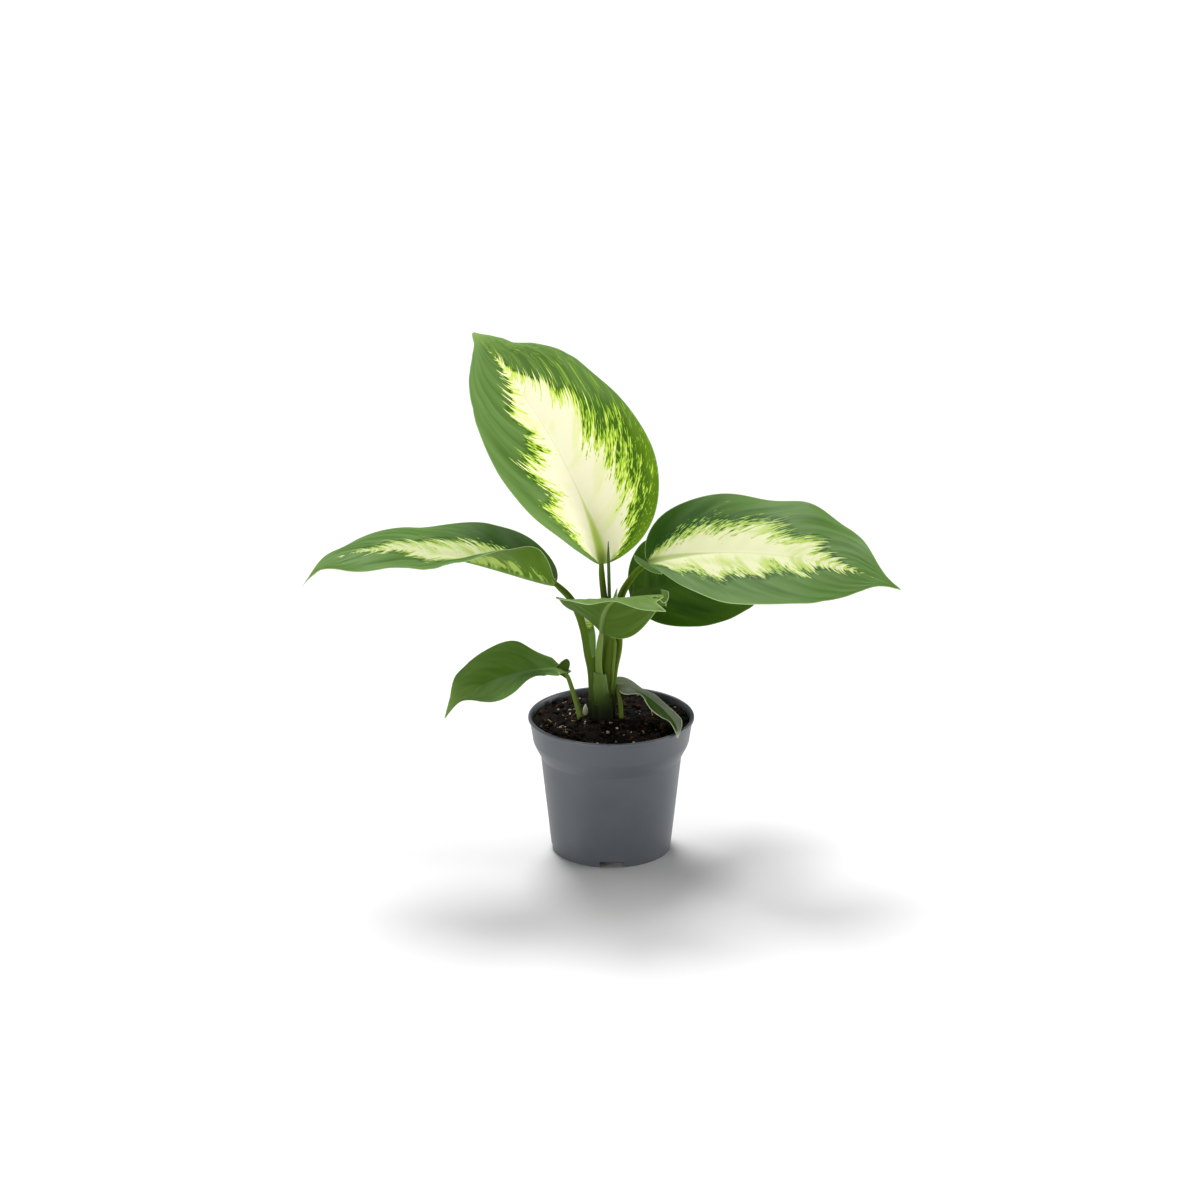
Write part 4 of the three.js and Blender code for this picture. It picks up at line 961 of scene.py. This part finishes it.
def rounded(profile, radius):
    """The profile with each corner replaced by a small arc."""
    points = [np.array(p, float) for p in profile]
    out = [points[0]]
    for before, corner, after in zip(points, points[1:], points[2:]):
        a, b = before - corner, after - corner
        la, lb = np.linalg.norm(a), np.linalg.norm(b)
        reach = min(radius, 0.45 * la, 0.45 * lb)
        start, end = corner + a / la * reach, corner + b / lb * reach
        for w in np.linspace(0, 1, 5):
            out.append((1 - w) ** 2 * start + 2 * (1 - w) * w * corner + w**2 * end)
    out.append(points[-1])
    return out


def lathe(name, profile, sides):
    """A closed body of revolution from a profile that starts and ends on the axis."""
    angle = 2 * np.pi * np.arange(sides) / sides
    points = [(0, 0, profile[0][1])]
    for r, z in profile[1:-1]:
        points += [(r * math.cos(a), r * math.sin(a), z) for a in angle]
    points.append((0, 0, profile[-1][1]))
    faces = []
    count, last = len(profile) - 2, len(points) - 1
    for j in range(sides):
        k = (j + 1) % sides
        faces.append((0, 1 + k, 1 + j))
        for i in range(count - 1):
            a, b = 1 + i * sides + j, 1 + i * sides + k
            faces.append((a, b, b + sides, a + sides))
        faces.append((1 + (count - 1) * sides + j, 1 + (count - 1) * sides + k, last))
    return add_mesh(name, points, faces)


def box(name, size, centre, turn):
    """A block of this size, moved to centre and then turned about the pot's axis."""
    x, y, z = (v / 2 for v in size)
    corners = [(i * x, j * y, k * z) for k in (-1, 1) for j in (-1, 1) for i in (-1, 1)]
    points = []
    for cx, cy, cz in corners:
        px, py = cx + centre[0], cy + centre[1]
        points.append((px * math.cos(turn) - py * math.sin(turn), px * math.sin(turn) + py * math.cos(turn),
                       cz + centre[2]))
    faces = [(0, 2, 3, 1), (4, 5, 7, 6), (0, 1, 5, 4), (2, 6, 7, 3), (0, 4, 6, 2), (1, 3, 7, 5)]
    return add_mesh(name, points, faces)


def make_pot():
    """The pot: resting pad, floor, foot ring, body, step, collar and bead, then the inside down to the floor."""
    profile = [
        (0, 0), (PAD_RADIUS, 0), (PAD_RADIUS + 1, FLOOR_Z), (FOOT_RADIUS - WALL, FLOOR_Z), (FOOT_RADIUS - WALL, 0),
        (FOOT_RADIUS, 0), (BODY_TOP_RADIUS, BODY_TOP_Z), (BODY_TOP_RADIUS + 1.3, BODY_TOP_Z + 2.4),
        (COLLAR_RADIUS - 1.3, COLLAR_Z - 3), (COLLAR_RADIUS, COLLAR_Z), (RIM_RADIUS - 1.2, POT_HEIGHT - BEAD_HEIGHT),
        (RIM_RADIUS, POT_HEIGHT - BEAD_HEIGHT + 0.5), (RIM_RADIUS, POT_HEIGHT - 0.7), (RIM_RADIUS - 0.7, POT_HEIGHT),
        (RIM_RADIUS - 1.8, POT_HEIGHT), (RIM_RADIUS - 2.5, POT_HEIGHT - 0.7), (COLLAR_RADIUS - WALL, COLLAR_Z + 0.3),
        (COLLAR_RADIUS - 1.3 - WALL, COLLAR_Z - 2), (BODY_TOP_RADIUS + 1.3 - WALL, BODY_TOP_Z + 3.2),
        (BODY_TOP_RADIUS - WALL, BODY_TOP_Z + 0.8), (FOOT_RADIUS + 0.5 - WALL, FLOOR_Z + WALL + 1),
        (FOOT_RADIUS - 0.6 - WALL, FLOOR_Z + WALL), (PAD_RADIUS, FLOOR_Z + WALL), (PAD_RADIUS - WALL, WALL), (0, WALL),
    ]
    pot = lathe("pot_shell", rounded(profile, POT_EDGE), POT_SIDES)
    outward_faces(pot)
    for i in range(NOTCH_COUNT):
        combine(pot, box("notch", NOTCH_SIZE, (0, -FOOT_RADIUS, 0), math.pi / 2 * i), "DIFFERENCE")
    for i in range(DRAIN_COUNT):
        angle = 2 * math.pi * (i + 0.5) / DRAIN_COUNT
        x, y = DRAIN_RING * math.cos(angle), DRAIN_RING * math.sin(angle)
        drain = [(x, y, FLOOR_Z - 1, DRAIN_RADIUS, DRAIN_RADIUS), (x, y, FLOOR_Z + 3, DRAIN_RADIUS, DRAIN_RADIUS)]
        combine(pot, tube("drain", drain, REAR, rows=2, sides=DRAIN_SIDES), "DIFFERENCE")
    soften(pot, SHARP_POT)
    pot.data.materials.clear()
    pot.data.materials.append(pot_look())
    return pot


# ---- Soil ----


def ground(x, y):
    """Height of the soil without its crumbs."""
    crown = SOIL_CROWN * (1 - (x * x + y * y) / RIM_RADIUS**2)
    uneven = np.sin(0.31 * x + 1.3 * np.sin(0.17 * y)) * np.cos(0.27 * y - 0.4) + 0.6 * np.sin(0.63 * x - 0.5 * y + 1)
    return SOIL_Z + crown + 0.9 * uneven


def lumps(x, y, bumps):
    """Crumbly relief: round bumps, each given by its place, size and height; the tallest wins."""
    height = np.zeros_like(x)
    for cx, cy, size, tall in bumps:
        d2 = ((x - cx) ** 2 + (y - cy) ** 2) / size**2
        near = d2 < 1
        height[near] = np.maximum(height[near], tall * np.sqrt(1 - d2[near]))
    return height


def on_disc(rng, radius):
    """A random place, evenly over a disc."""
    far, around = radius * math.sqrt(rng.random()), 2 * math.pi * rng.random()
    return far * math.cos(around), far * math.sin(around)


def make_soil(rng):
    """The potting mix: rings of a crumbly top, then rings down the inside of the pot."""
    angle = 2 * np.pi * np.arange(SOIL_SIDES) / SOIL_SIDES
    points = [(0.0, 0.0)]
    for i in range(1, SOIL_RINGS + 1):
        r = SOIL_RADIUS * i / SOIL_RINGS
        points += list(zip(r * np.cos(angle), r * np.sin(angle)))
    x, y = np.array(points).T
    bumps = []
    for _ in range(LUMPS):
        place = on_disc(rng, LUMP_REACH)
        size = 0.8 + 2.6 * rng.random() ** 3
        bumps.append((*place, size, size * (0.35 + 0.5 * rng.random())))
    z = ground(x, y) + lumps(x, y, bumps) - 0.8
    z += 0.35 * np.sin(2.9 * x + 1.3 * np.sin(1.7 * y)) * np.sin(2.3 * y + 0.9 * np.cos(2.1 * x))
    lower = [np.stack([r * np.cos(angle), r * np.sin(angle), np.full(SOIL_SIDES, float(h))], -1) for r, h in SOIL_WALL]
    faces = []
    bands = SOIL_RINGS - 1 + len(SOIL_WALL)
    for j in range(SOIL_SIDES):
        k = (j + 1) % SOIL_SIDES
        faces.append((0, 1 + j, 1 + k))
        for i in range(bands):
            a, b = 1 + i * SOIL_SIDES + j, 1 + i * SOIL_SIDES + k
            faces.append((a, a + SOIL_SIDES, b + SOIL_SIDES, b))
    faces.append(tuple(1 + bands * SOIL_SIDES + j for j in range(SOIL_SIDES))[::-1])
    soil = add_mesh("soil_mix", np.concatenate([np.stack([x, y, z], -1), *lower]), faces)
    outward_faces(soil)
    soil.data.materials.append(soil_look("soil_skin", (0.0022, 0.0018, 0.0012), (0.025, 0.014, 0.006)))
    return soil


def make_straw():
    """Thin dry fibres that lie on the soil."""
    points, faces = [], []
    angle = 2 * np.pi * np.arange(STRAW_SIDES) / STRAW_SIDES
    for x, y, turn, length, lift in STRAW:
        along = np.array([math.cos(math.radians(turn)), math.sin(math.radians(turn))])
        rings = []
        for t in np.linspace(-0.5, 0.5, STRAW_STEPS):
            cx, cy = np.array([x, y]) + along * length * t
            cz = float(ground(cx, cy)) + STRAW_RADIUS + 0.5 + lift * (t + 0.5)
            rings.append([(cx - along[1] * STRAW_RADIUS * math.cos(a), cy + along[0] * STRAW_RADIUS * math.cos(a),
                           cz + STRAW_RADIUS * math.sin(a)) for a in angle])
        first = len(points)
        points += [p for ring in rings for p in ring]
        faces += [tuple(first + v for v in face) for face in skin(rings)]
    piece = add_mesh("soil_straw", points, faces)
    outward_faces(piece)
    piece.data.materials.append(soil_look("soil_straw_skin", (0.22, 0.15, 0.07), (0.5, 0.4, 0.22)))
    return piece


def round_ball():
    """Points and triangles of an icosahedron with each face cut into four."""
    phi = (1 + 5**0.5) / 2
    ico = unit(np.array([(-1, phi, 0), (1, phi, 0), (-1, -phi, 0), (1, -phi, 0), (0, -1, phi), (0, 1, phi),
                         (0, -1, -phi), (0, 1, -phi), (phi, 0, -1), (phi, 0, 1), (-phi, 0, -1), (-phi, 0, 1)], float))
    base = [(0, 11, 5), (0, 5, 1), (0, 1, 7), (0, 7, 10), (0, 10, 11), (1, 5, 9), (5, 11, 4), (11, 10, 2), (10, 7, 6),
            (7, 1, 8), (3, 9, 4), (3, 4, 2), (3, 2, 6), (3, 6, 8), (3, 8, 9), (4, 9, 5), (2, 4, 11), (6, 2, 10),
            (8, 6, 7), (9, 8, 1)]
    cache, ball, faces = {}, list(ico), []

    def middle(a, b):
        key = (min(a, b), max(a, b))
        if key not in cache:
            ball.append(unit(ball[a] + ball[b]))
            cache[key] = len(ball) - 1
        return cache[key]

    for a, b, c in base:
        ab, bc, ca = middle(a, b), middle(b, c), middle(c, a)
        faces += [(a, ab, ca), (b, bc, ab), (c, ca, bc), (ab, bc, ca)]
    return np.array(ball), faces


def scattered(name, rng, places, count, sizes, squash, dark, light):
    """Many small rough grains as one mesh.

    places gives the place of each, sizes the smallest and largest radius, squash the height as a share of it.
    """
    ball, faces = round_ball()
    all_points, all_faces = [], []
    for i in range(count):
        size = sizes[0] + (sizes[1] - sizes[0]) * rng.random() ** 2
        rough = 1 + GRAIN_UNEVEN * (rng.random(len(ball)) - 0.5)
        grain = ball * rough[:, None] * size * np.array([1, 0.6 + 0.4 * rng.random(), squash])
        turn, tilt = 2 * np.pi * rng.random(), GRAIN_TILT * (rng.random() - 0.5)
        c, s = math.cos(turn), math.sin(turn)
        spin = np.array([[c, -s, 0], [s, c, 0], [0, 0, 1]])
        ct, st = math.cos(tilt), math.sin(tilt)
        lean = np.array([[ct, 0, st], [0, 1, 0], [-st, 0, ct]])
        x, y = next(places)
        z = float(ground(np.float64(x), np.float64(y))) + 0.3 * size
        grain = grain @ lean.T @ spin.T + np.array([x, y, z])
        all_faces += [tuple(v + len(ball) * i for v in f) for f in faces]
        all_points.append(grain)
    piece = add_mesh(name, np.concatenate(all_points), all_faces)
    piece.data.materials.append(soil_look(name + "_skin", dark, light))
    return piece


def anywhere(rng):
    """Random places on the soil, without end."""
    while True:
        yield on_disc(rng, GRAIN_REACH)


# ---- Plant ----


def grow_plant():
    """Every stem and leaf, each cut clear of the ones that stand before it."""
    pieces, taken = {}, []
    for name, stations in SHOOTS.items():
        piece = tube(name + "_shoot", stations, REAR)
        outward_faces(piece)
        pieces[name] = piece
        taken.append((stations, REAR))
    for name, leaf in LEAVES.items():
        stalk = tube(name + "_stalk", leaf["stalk"], leaf["outward"], groove=STALK_GROOVE)
        outward_faces(stalk)
        piece = blade(name + "_leaf", leaf)
        outward_faces(piece)
        combine(piece, stalk, "UNION")
        for extra in leaf.get("flaps", ()):
            sheet = flap("flap", **extra)
            outward_faces(sheet)
            combine(piece, sheet, "UNION")
        for stations, outward in taken:
            cutter = tube("cutter", stations, outward, grow=CLEARANCE)
            outward_faces(cutter)
            combine(piece, cutter, "DIFFERENCE")
        taken.append((leaf["stalk"], leaf["outward"]))
        soften(piece, SHARP_LEAF)
        pieces[name] = piece
    return pieces


rng = np.random.default_rng(5)
pot = make_pot()
soil = make_soil(rng)
plant = grow_plant()
crumbs = scattered("soil_crumbs", rng, anywhere(rng), *CRUMB_GRAINS)
perlite = scattered("soil_perlite", rng, anywhere(rng), *PERLITE_GRAINS)
chips = scattered("soil_chips", rng, iter(CHIPS), *CHIP_GRAINS)
straw = make_straw()

SHOOT_LOOKS = {
    "cane": stem_look("cane_skin", (0.02, 0.03, 0.008), (0.04, 0.07, 0.014), 3.0),
    "spear": stem_look("spear_skin", (0.07, 0.13, 0.015), (0.055, 0.11, 0.012), 4.0),
    "bud": stem_look("bud_skin", (0.1, 0.17, 0.03), (0.55, 0.65, 0.36), 6.0),
    "sprout": stem_look("sprout_skin", (0.45, 0.46, 0.28), (0.72, 0.71, 0.5), 8.0),
}
SHOOT_SLOTS = {"cane": "stem_green", "spear": "stem_green", "bud": "shoot_pale", "sprout": "shoot_pale"}

for name, piece in plant.items():
    piece.data.materials.clear()
    piece.data.materials.append(SHOOT_LOOKS.get(name) or LEAF_LOOKS[name])
    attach(piece, "root")
    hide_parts(name)
    SHOOT_SLOTS.get(name) or LEAVES[name]["slot"]
for piece in (crumbs, perlite, chips, straw):
    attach(piece, "root")
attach(soil, "root")
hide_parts("soil")
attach(pot, "root")
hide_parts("pot")

# ---- Floor, light and camera ----

FLOOR_REACH = 6000
FLOOR_DROP = -0.2
WORLD_LIGHT = 0.1
CAMERA_PLACE = (-0.0082, -3.42157, 1.40374)
CAMERA_TURN = 70.5
CAMERA_SENSOR = 36
CAMERA_LENS = 150
CAMERA_REACH = 60
# Suns: name, direction that the light comes from, strength, angle that the source covers in degrees.
SUNS = [
    ("key", (-0.17, 0.66, 1), 2.6, 26),
    ("top_fill", (-0.1, 0.25, 1), 1.3, 50),
    ("left_fill", (-0.8, -0.8, -0.07), 3.8, 36),
    ("front_fill", (0.2, -1, -0.06), 1.3, 36),
    ("right_fill", (1, 0.1, -0.06), 5.3, 40),
]

corners = [(FLOOR_REACH * x, FLOOR_REACH * y, FLOOR_DROP) for x, y in ((-1, -1), (1, -1), (1, 1), (-1, 1))]
floor = add_mesh("studio_floor", corners, [(0, 1, 2, 3)])
floor_look = Look("studio_floor_skin", 0.9, specular=0.1)
floor_look.color(floor_look.mix(floor_look.ramp(floor_look.noise(floor_look.solid_place(), 3.0), -0.5, 0.5),
                                (0.88, 0.88, 0.88), (0.9, 0.9, 0.9)))
floor.data.materials.append(floor_look.material)

world = bpy.data.worlds.new("studio_world")
bpy.context.scene.world = world
world.use_nodes = True
world.node_tree.nodes["Background"].inputs["Color"].default_value = (1, 1, 1, 1)
world.node_tree.nodes["Background"].inputs["Strength"].default_value = WORLD_LIGHT


def soft_sun(name, toward, strength, spread):
    """Even light from the direction "toward", with shadows as soft as a source of that angle."""
    data = bpy.data.lights.new(name, "SUN")
    data.energy = strength
    data.angle = math.radians(spread)
    lamp = bpy.data.objects.new(name, data)
    bpy.context.scene.collection.objects.link(lamp)
    lamp.rotation_euler = Vector(toward).to_track_quat("Z", "Y").to_euler()


for sun in SUNS:
    soft_sun(*sun)

camera_data = bpy.data.cameras.new("camera")
camera_data.sensor_width = CAMERA_SENSOR
camera_data.lens = CAMERA_LENS
camera = bpy.data.objects.new("camera", camera_data)
bpy.context.scene.collection.objects.link(camera)
camera.location = CAMERA_PLACE
camera.rotation_euler = (math.radians(CAMERA_TURN), 0, 0)
camera_data.clip_end = CAMERA_REACH
bpy.context.scene.camera = camera
bpy.context.scene.view_settings.view_transform = "Standard"
